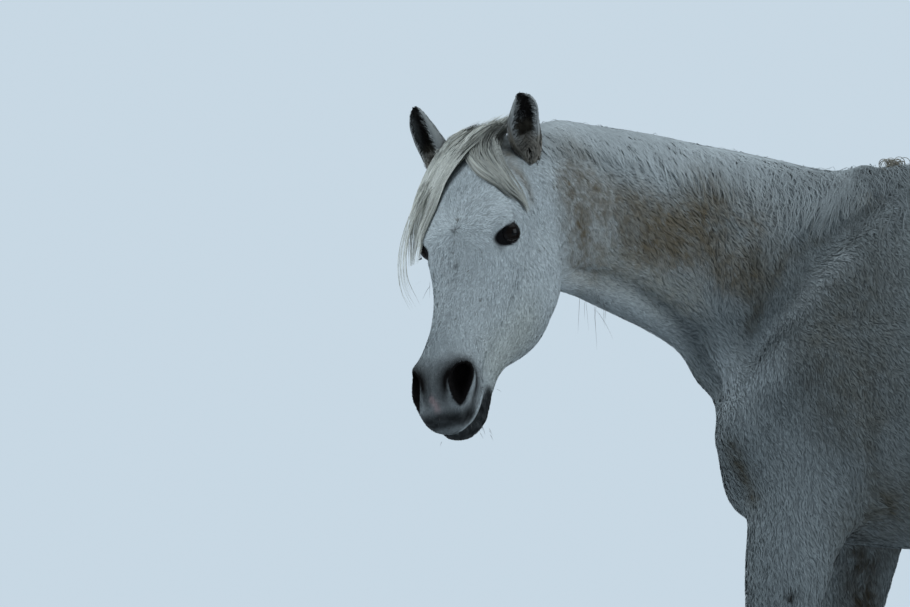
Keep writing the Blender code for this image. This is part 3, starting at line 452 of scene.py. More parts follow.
MOUTH = [(0.492, 0.052, -0.124), (0.530, 0.049, -0.129), (0.565, 0.038, -0.131), (0.588, 0.018, -0.131)]


def distance_to(points, path):
    """Each point's distance from a broken line."""
    nearest = np.full(len(points), 9.0)
    path = [np.array(p, float) for p in path]
    for a, b in zip(path, path[1:] or path):
        span = (b - a) @ (b - a)
        t = np.clip((points - a) @ (b - a) / (span or 1.0), 0, 1)
        nearest = np.minimum(nearest, np.linalg.norm(points - a - t[:, None] * (b - a), axis=1))
    return nearest


def near(points, path, reach):
    """1 on a broken line, fading to 0 within about twice the reach."""
    return np.exp(-((distance_to(points, path) / reach) ** 2))


def vertex_arrays(mesh):
    """A mesh's points and vertex normals."""
    points = np.empty(len(mesh.vertices) * 3)
    mesh.vertices.foreach_get("co", points)
    normals = np.empty(len(mesh.vertices) * 3)
    mesh.vertex_normals.foreach_get("vector", normals)
    return points.reshape(-1, 3), normals.reshape(-1, 3)


def set_points(mesh, points):
    mesh.vertices.foreach_set("co", points.ravel())
    mesh.update()


def relax(mesh, rounds, weight):
    """Laplacian smoothing; weight says how far each vertex goes to its neighbours' middle."""
    edges = np.empty(len(mesh.edges) * 2, int)
    mesh.edges.foreach_get("vertices", edges)
    a, b = edges.reshape(-1, 2).T
    points, _ = vertex_arrays(mesh)
    count = len(points)
    degree = np.bincount(a, minlength=count) + np.bincount(b, minlength=count)
    for _ in range(rounds):
        sums = [np.bincount(a, points[b, k], count) + np.bincount(b, points[a, k], count) for k in range(3)]
        total = np.stack(sums, axis=1)
        points += (total / degree[:, None] - points) * weight[:, None]
    set_points(mesh, points)


def ramp(values, low, high):
    """0 before low, 1 after high and a smooth step between them. high may be the smaller one."""
    t = np.clip((values - low) / (high - low), 0, 1)
    return t * t * (3 - 2 * t)


def noise(points, size, seed):
    """Smooth noise from 0 to 1 at each point, with features about size across."""
    table = np.random.default_rng(seed).random((32, 32, 32))
    cells = points / size + 100.0
    base = np.floor(cells).astype(int)
    part = cells - base
    part = part * part * (3 - 2 * part)
    total = np.zeros(len(points))
    for corner in itertools.product((0, 1), repeat=3):
        weight = np.prod(np.where(corner, part, 1 - part), axis=1)
        i, j, k = ((base + corner) % 32).T
        total += weight * table[i, j, k]
    return total


def unit(vectors):
    """Rows brought to the length 1."""
    return vectors / np.maximum(np.linalg.norm(vectors, axis=1), 1e-9)[:, None]


def head_share(points):
    """1 on the head, 0 on the neck behind it."""
    beyond = in_head(points) @ np.array((0.55, 0.0, -0.25)) - 0.005
    return ramp(beyond, -0.03, 0.03) * ramp(-points[:, 1], 0.25, 0.35)


def folded(local):
    """Points in the head's frame, brought to its left side."""
    return np.column_stack([local[:, 0], np.abs(local[:, 1]), local[:, 2]])


# Skin


def apply_modifiers(obj):
    """Bakes an object's modifiers into a mesh of its own."""
    graph = bpy.context.evaluated_depsgraph_get()
    graph.update()
    mesh = bpy.data.meshes.new_from_object(obj.evaluated_get(graph))
    obj.modifiers.clear()
    old = obj.data
    obj.data = mesh
    bpy.data.meshes.remove(old)
    mesh.name = obj.name


def refine(mesh, wanted, rounds=3):
    """Cuts the faces inside wanted in four, and smooths them."""
    bm = bmesh.new()
    bm.from_mesh(mesh)
    inside = wanted(np.array([v.co for v in bm.verts]))
    edges = [e for e in bm.edges if inside[e.verts[0].index] and inside[e.verts[1].index]]
    bmesh.ops.subdivide_edges(bm, edges=edges, cuts=1, use_grid_fill=True)
    bm.to_mesh(mesh)
    bm.free()
    points, _ = vertex_arrays(mesh)
    relax(mesh, rounds, 0.5 * wanted(points))


def close_to(places, reach):
    """A test of points: within reach of any of these places in the head's frame, on either side."""
    spots = [HEAD @ Vector((x, side * y, z)) for side in (1, -1) for x, y, z in places]
    return lambda points: np.min([distance_to(points, [spot]) for spot in spots], axis=0) < reach


def on_skin(tree, path, steps=6):
    """A path given in the head's frame, laid on the skin with more points."""
    out = []
    for x, y, z in smooth_rows(path, steps) if len(path) > 1 else path:
        out.append(tree.find_nearest(HEAD @ Vector((x, y, z)))[0])
    return out


NOSTRIL = (0.546, 0.047, -0.052)
NOSTRIL_OUT = (0.45, 0.75, 0.48)
NOSTRIL_LONG = (0.90, -0.22, -0.37)  # its long way, from the wing down to the upper lip
NOSTRIL_HALF = (0.036, 0.0185)
NOSTRIL_DEPTH = 0.034
NOSTRIL_RIM = 0.0012  # height of the rim round the opening
EYE_CENTRE = (0.225, 0.0760, -0.0365)
EYE_OUT = (0.36, 0.89, 0.26)
EYE_LONG = (0.80, -0.42, 0.42)
EYE_HALF = (0.0235, 0.0120, 0.0105)  # half length, half heights of the upper and lower lid's opening
LID_THICKNESS = 0.0021
LID_EDGE = 0.0008  # more thickness along the lids' edge
LID_FOLDS = (0.0016, 0.0009)  # depth of the folds above and below the eye
LID_TUCK = 0.004  # how far behind the eyeball's face the skin inside the opening goes


def local_frame(centre, out, long, side):
    """Origin and axes (long, across, out) in the working frame of a place on one side of the head."""
    flip = Vector((1, -SIDE[side], 1))
    turn = HEAD.to_3x3()
    out = (turn @ (Vector(out) * flip)).normalized()
    long = turn @ (Vector(long) * flip)
    long = (long - out * long.dot(out)).normalized()
    across = out.cross(long) * -SIDE[side]
    return np.array(HEAD @ (Vector(centre) * flip)), np.array([long, across, out])


def eye_shape(points, side):
    """How far out from the eye's opening each point is, in shares of the opening (1 is its edge), and
    its height across the opening."""
    origin, axes = local_frame(EYE_CENTRE, EYE_OUT, EYE_LONG, side)
    along, across, out = ((points - origin) @ axes.T).T
    half, upper, lower = EYE_HALF
    height = np.where(across > 0, upper, lower)
    share = np.sqrt((along / half) ** 2 + (across / height) ** 2)
    return np.where(out > 0, share, 99.0), across


def lid_share(points):
    """How far out from the nearer eye's opening each point is, in shares of the opening."""
    return np.min([eye_shape(points, side)[0] for side in SIDE], axis=0)


def open_eyes(points):
    """Drapes the skin over the eyeballs as lids and opens it between them."""
    for side in SIDE:
        origin, _ = local_frame(EYE_CENTRE, EYE_OUT, EYE_LONG, side)
        rel = points - origin
        radius = np.linalg.norm(rel, axis=1)
        share, across = eye_shape(points, side)
        lid = EYE_RADIUS + LID_THICKNESS + LID_EDGE * np.exp(-(((share - 1.12) / 0.10) ** 2))
        draped = np.maximum(radius, np.where(share < 2.6, lid, 0))
        crease = np.exp(-(((share - 1.55) / 0.10) ** 2)) * np.where(across > 0, *LID_FOLDS)
        draped -= np.where(share < 3, crease, 0)
        hidden = EYE_RADIUS - LID_TUCK
        opening = ramp(share, 1.04, 0.92)
        target = draped + (hidden - draped) * opening
        close = (share < 3) & (radius < 0.06)
        scale = np.where(close, target / np.maximum(radius, 1e-6), 1.0)
        points[:] = origin + rel * scale[:, None]


def nostril_shape(points, side):
    """How far out from the nostril's opening each point is (1 is its edge), and the opening's axes."""
    origin, axes = local_frame(NOSTRIL, NOSTRIL_OUT, NOSTRIL_LONG, side)
    along, across, away = ((points - origin) @ axes.T).T
    bend = across * -1 + 5.0 * along**2 - 0.003  # a comma, wider at its upper end
    half = NOSTRIL_HALF[1] * (1 - 0.30 * np.clip(along / NOSTRIL_HALF[0], -1, 1))
    share = np.sqrt((along / NOSTRIL_HALF[0]) ** 2 + (bend / half) ** 2)
    return np.where(np.abs(away) < 0.040, share, 99.0), axes


def open_nostrils(points, normals):
    """Sinks the nostrils into the skin, with a rim round each."""
    for side in SIDE:
        share, axes = nostril_shape(points, side)
        depth = NOSTRIL_DEPTH * ramp(share, 1.0, 0.40)
        rim = NOSTRIL_RIM * np.exp(-(((share - 1.18) / 0.14) ** 2))
        inward = -axes[2] * 0.60 + np.array(HEAD.to_3x3() @ Vector((-0.70, 0, -0.05)))
        points += inward[None, :] * depth[:, None] + normals * rim[:, None]


BODY_DEPTH = 0.0075
LEG_DEPTH = 0.0040
FACE_DEPTH = 0.0035
MUZZLE_DEPTH = 0.0013


def coat_depth(points):
    """How far the skin lies inside the solids, which show the coat's outside."""
    local = in_head(points)
    head = head_share(points)
    face = FACE_DEPTH + (MUZZLE_DEPTH - FACE_DEPTH) * ramp(local[:, 0], 0.42, 0.52)
    low = ramp(points[:, 2], 0.75, 0.45)
    body = BODY_DEPTH + (LEG_DEPTH - BODY_DEPTH) * low
    return body + (face - body) * head


EARS = {  # base in the head's frame, direction of the ear, direction of its opening
    "left": ((0.020, 0.072, -0.037), (-0.05, 0.40, 0.92), (0.90, 0.42, 0.0)),
    "right": ((0.034, -0.090, -0.036), (-0.33, -0.11, 0.94), (0.93, -0.20, 0.30)),
}
EAR_BEND_AT = (0.0, 0.25, 0.5, 0.75, 0.9, 1.0)
EAR_BEND = {  # how far each ear's middle line bows outward at those shares of its length
    "left": (0.0, -0.004, -0.004, 0.001, 0.0, -0.007),
    "right": (0.0, 0.002, 0.005, 0.004, -0.001, -0.007),
}
EAR_ROWS = [  # share of the length, half width, depth, degrees the wall wraps to each side, wall
    (-0.14, 0.021, 0.022, 172, 0.016),
    (0.06, 0.027, 0.026, 160, 0.010),
    (0.22, 0.0300, 0.028, 134, 0.0065),
    (0.42, 0.0300, 0.026, 116, 0.005),
    (0.62, 0.0280, 0.022, 106, 0.0045),
    (0.80, 0.0230, 0.016, 100, 0.004),
    (0.93, 0.0145, 0.010, 94, 0.003),
    (1.00, 0.0055, 0.004, 88, 0.001),
]
EAR_SIDES = 23
EAR_FUR = 0.0012  # how far the skin of the ears lies inside the solids


def ear_frame(side):
    """Root, direction, opening and outward direction of an ear."""
    base, direction, opening = EARS[side]
    turn = HEAD.to_3x3()
    up = (turn @ Vector(direction)).normalized()
    front = turn @ Vector(opening)
    front = (front - up * front.dot(up)).normalized()
    return HEAD @ Vector(base), up, front, up.cross(front) * -SIDE[side]


def add_ear(bm, side):
    """A cupped leaf, open on one side, its fur's depth inside the solid."""
    root, up, front, outward = ear_frame(side)
    rings = []
    for share, half, depth, wrap, wall in smooth_rows(EAR_ROWS, 5):
        lean = float(np.interp(share, EAR_BEND_AT, EAR_BEND[side]))
        centre = root + up * (share * EAR_LENGTH - 0.002) + outward * lean
        outer = []
        inner = []
        half -= EAR_FUR
        depth -= EAR_FUR
        thin = min(wall, 0.004) * 0.55
        for i in range(EAR_SIDES):
            angle = math.radians(wrap) * (2 * i / (EAR_SIDES - 1) - 1)
            curl = 1 - 0.10 * (abs(angle) / math.radians(wrap)) ** 6
            across = up.cross(front) * math.sin(angle) * curl
            back = front * -math.cos(angle)
            outer.append(centre + across * half + back * depth)
            inner.append(centre + across * max(half - thin, 0.0008) + back * max(depth - thin, 0.0006))
        rings.append(outer + inner[::-1])
    bridge(bm, rings)


SMOOTHING = 4  # rounds over the whole form
TRUNK_SMOOTHING = 30  # more rounds on the trunk and the neck


def joined_form():
    """Trunk, neck, head and legs as one smoothed object."""
    bm = bmesh.new()
    add_trunk(bm)
    add_neck(bm)
    add_head(bm)
    for name in STANCE:
        add_leg(bm, name)
    mesh = bpy.data.meshes.new("skin")
    bm.to_mesh(mesh)
    bm.free()
    skin = linked("skin", mesh)
    join = skin.modifiers.new("join", "REMESH")
    join.mode = "VOXEL"
    join.voxel_size = SKIN_VOXEL
    apply_modifiers(skin)
    mesh = skin.data
    points, _ = vertex_arrays(mesh)
    head = head_share(points)
    low = 1 - ramp(points[:, 2], 0.70, 0.90)
    relax(mesh, SMOOTHING, np.full(len(points), 0.5))
    relax(mesh, TRUNK_SMOOTHING, 0.5 * (1 - head) * (1 - low))
    return skin


def build_skin():
    """The whole skin as one mesh. Returns the object and how many of its vertices come before the ears."""
    skin = joined_form()
    mesh = skin.data
    shape_body(mesh)
    shape_head(mesh)
    bm = bmesh.new()
    bm.from_mesh(mesh)
    body_count = len(bm.verts)
    for side in SIDE:
        add_ear(bm, side)
    bmesh.ops.recalc_face_normals(bm, faces=bm.faces)
    bm.to_mesh(mesh)
    bm.free()
    mesh.shade_smooth()
    return skin, body_count


def shape_body(mesh):
    """Muscles and grooves of the trunk, the neck and the legs."""
    points, normals = vertex_arrays(mesh)
    left = to_left(points)
    relief = np.zeros(len(points))
    for height, reach, path in LEFT_STROKES:
        relief += height * near(left, path, reach)
    for height, reach, path in STROKES:
        for side in SIDE.values():
            relief += height * near(points, [(x, side * y, z) for x, y, z in path], reach)
    for height, reach, pair, path in LEG_STROKES:
        for name in [leg for leg in STANCE if leg.startswith(pair)]:
            line = [(leg_x(name, x, z), leg_side(name) * y, z) for x, y, z in path]
            relief += height * near(points, line, reach)
    points += normals * relief[:, None]
    set_points(mesh, points)


def shape_head(mesh):
    """Finer faces on the head, the coat's depth off the whole skin, then folds, nostrils and lids."""
    refine(mesh, lambda p: head_share(p) > 0.35)
    refine(mesh, close_to([NOSTRIL, EYE_CENTRE, LIPS], 0.048))
    refine(mesh, close_to([NOSTRIL, EYE_CENTRE], 0.035), 2)
    points, normals = vertex_arrays(mesh)
    points -= normals * coat_depth(points)[:, None]
    set_points(mesh, points)
    tree = BVHTree.FromObject(bpy.data.objects["skin"], bpy.context.evaluated_depsgraph_get())
    points, normals = vertex_arrays(mesh)
    for height, reach, path in HEAD_STROKES:
        for side in (1, -1):
            line = on_skin(tree, [(x, side * y, z) for x, y, z in path])
            points += normals * (height * near(points, line, reach))[:, None]
    mouth = on_skin(tree, MOUTH + [(x, -y, z) for x, y, z in MOUTH[::-1]])
    points -= normals * (MOUTH_DEPTH * near(points, mouth, MOUTH_REACH))[:, None]
    open_nostrils(points, normals)
    open_eyes(points)
    set_points(mesh, points)


# Places on the neck


def neck_axes():
    """Centres of the neck from the withers to the poll, and its directions there: ahead, up, right."""
    rows = smooth_rows([row[:8] for row in NECK], 8)
    tops = smooth_rows([row[8] for row in NECK], 8)
    centres = rows[:, :3]
    ahead = unit(np.gradient(centres, axis=0))
    right = unit(np.cross(ahead, tops))
    return centres, ahead, np.cross(right, ahead), right


NECK_CENTRES, NECK_AHEAD, NECK_UP, NECK_RIGHT = neck_axes()


def neck_step(points):
    """The nearest of the neck's centres for each point."""
    reach = (NECK_CENTRES**2).sum(axis=1)[None, :] - 2 * points @ NECK_CENTRES.T
    return np.argmin(reach, axis=1)


def neck_place(points):
    """How far along the neck each point is, from 0 to 1, and its angle from the crest in radians, the
    right side positive."""
    step = neck_step(points)
    rel = points - NECK_CENTRES[step]
    size = np.linalg.norm(NECK_CENTRES[1] - NECK_CENTRES[0])
    along = step + np.clip((rel * NECK_AHEAD[step]).sum(axis=1) / size, -1, 1)
    angle = np.arctan2((rel * NECK_RIGHT[step]).sum(axis=1), (rel * NECK_UP[step]).sum(axis=1))
    return along / (len(NECK_CENTRES) - 1), angle


def to_left(points):
    """Each point, or its mirror image on the left side if it is on the right."""
    step = neck_step(points)
    over = ((points - NECK_CENTRES[step]) * NECK_RIGHT[step]).sum(axis=1)
    body = points - NECK_RIGHT[step] * (2 * np.maximum(over, 0))[:, None]
    local = in_head(points)
    face = points - HEAD_AXES[:, 1] * (2 * np.minimum(local[:, 1], 0))[:, None]
    return np.where((head_share(points) > 0.5)[:, None], face, body)


# Markings: how much light the coat gives back, with painted shade in some grooves and hollows and painted
# light along the shoulder's edge

PALE = (0.575, 0.63, 0.655)
CREAM = (0.56, 0.59, 0.54)
BUFF = (0.42, 0.40, 0.33)
GREY = (0.235, 0.265, 0.275)
LEG_GREY = (0.20, 0.205, 0.20)
NOSE_PAINTED_SHADE = (0.38, 0.43, 0.455)
POLL_BROWN = (0.22, 0.19, 0.145)
STAIN = (0.160, 0.130, 0.086)
DUSK = (0.098, 0.089, 0.066)
LEG_BROWN_AND_SHADE = (0.060, 0.050, 0.036)
# painted shade for the jugular groove
GROOVE_PAINTED_SHADE = (0.035, 0.033, 0.030)
FLECK = (0.03, 0.03, 0.028)
SOCKET_SHADE = (0.07, 0.08, 0.085)
DARK = (0.007, 0.008, 0.009)
NOSTRIL_LINING_AND_SHADE = (0.006, 0.005, 0.005)
LID_DARK_AND_SHADE = (0.004, 0.004, 0.005)
SNIP = (0.52, 0.40, 0.41)
HORN = (0.075, 0.068, 0.058)
SKIN_PAINTED_SHADE = 0.88  # painted shade: the skin's brightness against its tufts', darker as it lies under them

SHOULDER_EDGE = [(-0.262, -0.121, 1.170), (-0.154, -0.155, 1.255), (-0.085, -0.120, 1.325)]
MARKS_AND_PAINTED_SHADE = [  # strength, reach, colour, points on the left side: stains, and painted shade in grooves and hollows
    (0.40, 0.040, BUFF, [(-0.490, -0.300, 1.325), (-0.430, -0.200, 1.315), (-0.380, -0.140, 1.270)]),
    (0.55, 0.050, STAIN, [(-0.480, -0.344, 1.443), (-0.426, -0.259, 1.431), (-0.351, -0.177, 1.399)]),
    (0.50, 0.045, STAIN, [(-0.412, -0.240, 1.383), (-0.351, -0.177, 1.399), (-0.323, -0.144, 1.458)]),
    (0.45, 0.060, STAIN, [(-0.427, -0.254, 1.368), (-0.335, -0.167, 1.354), (-0.265, -0.147, 1.332)]),
    (0.42, 0.050, STAIN, [(-0.519, -0.374, 1.504), (-0.500, -0.345, 1.400), (-0.503, -0.324, 1.314)]),
    (0.70, 0.038, STAIN, [(-0.528, -0.405, 1.460), (-0.515, -0.385, 1.380), (-0.508, -0.360, 1.330)]),
    (0.45, 0.050, STAIN, [(-0.254, -0.110, 1.411), (-0.338, -0.152, 1.440)]),
    (0.55, 0.020, DUSK, [(-0.239, -0.137, 1.354), (-0.248, -0.141, 1.281)]),
    # painted shade: the next four rows darken the grooves before the shoulder blade and behind the triceps,
    # and the crease under the elbow
    (0.70, 0.013, DUSK, SHOULDER_GROOVE[2:6]),
    (0.45, 0.012, DUSK, SHOULDER_GROOVE),
    (0.35, 0.012, DUSK, ELBOW_GROOVE),
    (0.70, 0.012, DUSK, [(-0.012, -0.184, 0.918), (0.010, -0.135, 0.874)]),
    (0.45, 0.080, DUSK, [(-0.09, -0.17, 1.27), (-0.105, -0.19, 1.19), (-0.06, -0.22, 1.05)]),
    (0.25, 0.070, DUSK, [(-0.02, -0.15, 1.36), (0.02, -0.2, 1.10)]),
    # painted shade: the next four rows darken the jugular groove and paint a deep shadow at the neck's base
    # where it ends
    (0.90, 0.0080, GROOVE_PAINTED_SHADE, CREASE[0:5]),
    (0.90, 0.010, GROOVE_PAINTED_SHADE, CREASE[3:6]),
    (0.55, 0.012, DUSK, CREASE[5:7]),
    (0.97, 0.011, DARK, [(-0.385, -0.112, 1.207), (-0.371, -0.090, 1.176), (-0.358, -0.085, 1.161)]),
    (0.75, 0.022, DUSK, [(-0.281, -0.186, 0.997), (-0.270, -0.167, 0.954), (-0.249, -0.161, 0.914)]),
    # painted shade in the hollow behind the elbow and on the lower barrel
    (0.60, 0.085, DUSK, [(-0.002, -0.145, 0.863), (0.08, -0.19, 0.89)]),
    # the forelegs' inner sides: partly their own brown, partly painted shade between the legs
    (0.80, 0.050, LEG_BROWN_AND_SHADE, [(-0.080, -0.080, 0.790), (-0.080, -0.085, 0.600)]),
    (1.20, 0.011, FLECK, [(-0.167, -0.184, 0.731)]),
    (0.90, 0.006, DARK, [(-0.009, -0.026, 1.503)]),
]
PALE_AND_LIT_PATCHES = [  # strength, reach, points on the left side: pale coat, and painted light along the shoulder blade's edge
    (0.85, 0.060, [(-0.300, -0.120, 1.150), (-0.270, -0.140, 1.080)]),  # breast
    # painted light along the shoulder blade's front edge, below its groove
    (0.55, 0.026, SHOULDER_EDGE),
    (0.75, 0.040, [(-0.273, -0.161, 1.099), (-0.200, -0.185, 1.150)]),  # point of the shoulder
    (0.30, 0.090, [(-0.180, -0.180, 0.800), (-0.140, -0.200, 0.990)]),  # forearm
]
NOSE_PAINTED_SHADE_PLACES = [  # places of the forehead and the nose darkened as painted shade, in the head's frame, and their reach
    ((0.15, -0.03, 0.01), 0.06),
    ((0.47, -0.02, -0.01), 0.05),
]
POLL_MARK = [(0.017, 0.031, -0.006), (0.081, 0.066, -0.013), (0.103, 0.082, -0.060)]
SOCKET_SHADE_MARK = [(0.250, 0.078, -0.021), (0.262, 0.076, -0.027)]
SNIP_MARK = [(0.577, -0.004, -0.048), (0.585, 0.001, -0.055), (0.590, 0.003, -0.061)]
JAW_CREAM = [(0.33, 0.06, -0.17), (0.43, 0.04, -0.14)]
NOSTRIL_MARK = [(0.524, 0.046, -0.044), (0.566, 0.038, -0.066)]
LIP_MARK = [(0.604, 0.0, -0.080), (0.596, 0.026, -0.086), (0.576, 0.042, -0.104)]
FLEABITES = [  # places in the head's frame, and their reach
    ((0.311, 0.007, -0.002), 0.0050),
    ((0.325, 0.010, -0.006), 0.0032),
    ((0.240, -0.002, 0.013), 0.0045),
    ((0.303, -0.052, -0.024), 0.0036),
    ((0.199, 0.049, 0.011), 0.0030),
    ((0.215, 0.050, 0.008), 0.0026),
    ((0.115, 0.076, -0.131), 0.0028),
    ((0.185, 0.084, -0.124), 0.0036),
    ((0.064, 0.076, -0.056), 0.0035),
    ((0.103, 0.082, -0.060), 0.0045),
    ((0.377, 0.037, -0.031), 0.0022),
]


def mix(colours, other, share):
    """Rows brought towards another by a share for each row."""
    return colours + (np.array(other) - colours) * np.clip(share, 0, 1)[:, None]


def bare_skin(points):
    """1 on the hairless skin of the eyelids, nostrils and lips, 0 on the coat."""
    local = folded(in_head(points))
    bare = ramp(lid_share(points), 1.90, 1.60)
    bare = np.maximum(bare, 0.9 * near(local, [NOSTRIL], 0.022))
    bare = np.maximum(bare, near(local, MOUTH, 0.008))
    bare = np.maximum(bare, 0.6 * ramp(local[:, 0], 0.555, 0.590))
    return bare * head_share(points)


def muzzle_dark(local):
    """How dark the muzzle is: round the nostrils, over the front of the nose and on the lower lip."""
    left = folded(local)
    x, y, z = left.T
    lip = ramp(x, 0.478, 0.500) * ramp(z, -0.124, -0.133)
    dark = np.max([
        0.38 * ramp(x, 0.490, 0.550) * ramp(y, 0.058, 0.036) * ramp(z, -0.128, -0.100),
        0.50 * ramp(x, 0.565, 0.600),
        0.97 * near(left, NOSTRIL_MARK, 0.0175),
        near(left, LIP_MARK, 0.023),
        lip,
    ], axis=0)
    rim = near(left, [(x, y, z + 0.007) for x, y, z in MOUTH], 0.0040) * (1 - lip)
    return 1 - (1 - np.clip(dark - 0.45 * rim, 0, 1)) ** 1.6


def how_pale(left, along, angle, neck, soft):
    """How pale each point behind the head is before its stains, with painted light along the shoulder
    blade's edge. angle is in degrees from the crest.
    """
    throat = near(left, WINDPIPE[:3], 0.040) * ramp(distance_to(left, CREASE), 0.004, 0.012)
    pale = neck * (0.22 + 0.55 * ramp(angle, 60, 25) + 0.5 * soft)
    pale = np.maximum(pale, 0.55 * ramp(angle, 40, 20) * ramp(along, 0.02, 0.25))
    pale = np.maximum(pale, 0.62 * throat)
    for strength, reach, path in PALE_AND_LIT_PATCHES:
        pale = np.maximum(pale, strength * near(left, path, reach))
    return pale


def coat_colour(points):
    """The coat's colour at each point, the same for skin and tufts."""
    left = to_left(points)
    head = head_share(points)
    along, angle = neck_place(points)
    angle = np.degrees(np.abs(angle))
    neck = ramp(along, 0.12, 0.35) * (1 - head)
    soft = noise(points, 0.11, seed=5) - 0.5
    fine = noise(points, 0.022, seed=6) - 0.5
    pale = np.maximum(how_pale(left, along, angle, neck, soft), head)
    colour = mix(np.tile(GREY, (len(points), 1)), PALE, pale + 0.10 * soft)
    patchy = 1 + 0.6 * fine + 0.5 * soft + 1.1 * (noise(points, 0.007, seed=12) - 0.5)
    for strength, reach, tint, path in MARKS_AND_PAINTED_SHADE:
        colour = mix(colour, tint, strength * patchy * near(left, path, reach))
    brown = neck * ramp(noise(left, 0.05, seed=7), 0.40, 0.80) * ramp(angle, 22, 50) * ramp(angle, 150, 120)
    colour = mix(colour, STAIN, 0.45 * brown * patchy)
    legs = ramp(points[:, 2], 0.72, 0.45) * (1 - head)
    colour = mix(colour, LEG_GREY, 0.75 * legs)
    knees = near(points[:, 2:], [(0.50,)], 0.06) + near(points[:, 2:], [(0.20,)], 0.05)
    colour = mix(colour, DUSK, 0.35 * knees * legs)
    flecks = ramp(noise(points, 0.0085, seed=8), 0.90, 0.97) * (0.35 + 0.4 * head)
    colour = mix(colour, DUSK, flecks)
    colour = face_marks(colour, points, head)
    return muzzle_marks(colour, points, head)


def face_marks(colour, points, head):
    """The colours with the marks of the face down to the nose, painted shade on the forehead, the nose and
    by the eye's inner corner, and the dark lids widened by painted shade.
    """
    local = in_head(points)
    left = folded(local)
    colour = mix(colour, CREAM, head * 0.5 * near(left, JAW_CREAM, 0.06))
    speckle = 0.4 + 1.2 * noise(points, 0.008, seed=13)
    colour = mix(colour, POLL_BROWN, head * 0.55 * near(left, POLL_MARK, 0.020) * speckle)
    # painted shade on the forehead and the nose
    for place, reach in NOSE_PAINTED_SHADE_PLACES:
        colour = mix(colour, NOSE_PAINTED_SHADE, head * 0.75 * near(local, [place], reach))
    for place, reach in FLEABITES:
        colour = mix(colour, FLECK, head * 1.4 * near(local, [place], reach))
    # painted shade by the eye's inner corner
    colour = mix(colour, SOCKET_SHADE, head * 0.8 * near(left, SOCKET_SHADE_MARK, 0.010))
    # the lids' own dark skin, widened round the eye into painted shade under the brow
    return mix(colour, LID_DARK_AND_SHADE, ramp(lid_share(points), 1.85, 1.45))


def muzzle_marks(colour, points, head):
    """The colours with the dark muzzle, the pink snip on it and the nostrils' holes, their dark lining
    darker with depth as painted shade.
    """
    local = in_head(points)
    dark = muzzle_dark(local) * (1 - 0.10 * noise(points, 0.006, seed=9))
    colour = mix(colour, DARK, head * dark)
    snip = near(local, SNIP_MARK, 0.0055) * (0.6 + noise(points, 0.005, seed=10))
    colour = mix(colour, SNIP, head * snip)
    # painted shade: the nostrils' dark lining, darker the deeper inside
    holes = np.zeros(len(points))
    for side in SIDE:
        origin, axes = local_frame(NOSTRIL, NOSTRIL_OUT, NOSTRIL_LONG, side)
        depth = (origin - points) @ axes[2]
        share, _ = nostril_shape(points, side)
        holes = np.maximum(holes, ramp(depth, 0.002, 0.010) * near(points, [origin], 0.040))
        holes = np.maximum(holes, ramp(share, 1.22, 0.95))
    return mix(colour, NOSTRIL_LINING_AND_SHADE, head * np.clip(1.8 * holes, 0, 1))


# Lie of the coat

WHORL = (0.240, -0.002, 0.013)  # on the forehead, in the head's frame
FLANK_LIE = (0.82, 0.0, -0.50)
SHOULDER_LIE = (0.42, 0.0, -0.88)
THIGH_LIE = (0.45, 0.0, -0.88)
BACK_LIE = (1.0, 0.0, -0.1)
BELLY_LIE = (1.0, 0.0, 0.0)
LEG_LIE = (0.12, 0.0, -1.0)
NOSE_LIE = (1.0, 0.0, 0.0)
CHEEK_LIE = (0.35, 0.0, -0.90)
JAW_LIE = (1.0, 0.0, -0.35)


def lie_of_body(points, normals):
    """Back and down on the trunk and down the legs."""
    x, y, z = points.T
    flow = np.tile(FLANK_LIE, (len(points), 1))
    flow = mix(flow, SHOULDER_LIE, ramp(x, 0.10, -0.05))
    flow = mix(flow, THIGH_LIE, ramp(x, 0.75, 0.95))
    flow = mix(flow, BACK_LIE, ramp(normals[:, 2], 0.35, 0.85))
    flow = mix(flow, BELLY_LIE, ramp(-normals[:, 2], 0.5, 0.9))
    flow = mix(flow, LEG_LIE, ramp(z, 0.92, 0.76))
    flow[:, 1] += 0.25 * np.sign(y + 1e-9) * ramp(-x, 0.20, 0.32)
    return flow


def lie_of_neck(points, angle):
    """Back and down from the crest. angle is in radians from the crest, right side positive."""
    step = neck_step(points)
    down = ramp(np.abs(angle), 2.6, 2.0)
    across = NECK_RIGHT[step] * np.sign(angle)[:, None] * ramp(np.abs(angle), 1.2, 0.2)[:, None]
    return -NECK_AHEAD[step] * 0.78 - NECK_UP[step] * (0.62 * down)[:, None] + 0.5 * across


def lie_of_face(local):
    """Away from the whorl, then down the nose and the cheeks, in the head's frame."""
    away = local - WHORL
    away[:, 2] *= 0.3
    face = mix(unit(away), NOSE_LIE, ramp(local[:, 0], 0.25, 0.34))
    cheek = ramp(np.abs(local[:, 1]), 0.050, 0.075) * ramp(local[:, 2], 0.0, -0.04)
    cheek_way = mix(np.tile(CHEEK_LIE, (len(local), 1)), JAW_LIE, ramp(local[:, 0], 0.18, 0.38))
    return face + (cheek_way - face) * cheek[:, None]


def lie_of_coat(points, normals):
    """The way the hair lies at each point, along the skin."""
    along, angle = neck_place(points)
    flow = lie_of_body(points, normals)
    flow += (lie_of_neck(points, angle) - flow) * ramp(along, 0.10, 0.30)[:, None]
    face = lie_of_face(in_head(points)) @ HEAD_AXES.T
    flow += (face - flow) * head_share(points)[:, None]
    flow -= normals * (flow * normals).sum(axis=1)[:, None]
    return unit(flow)


def turned(vectors, axes, angles):
    """Vectors turned about axes square to them."""
    c, s = np.cos(angles)[:, None], np.sin(angles)[:, None]
    return vectors * c + np.cross(axes, vectors) * s


# Meshes from arrays


def linked(name, data):
    """A new object of some data, in the scene."""
    obj = bpy.data.objects.new(name, data)
    bpy.context.scene.collection.objects.link(obj)
    return obj


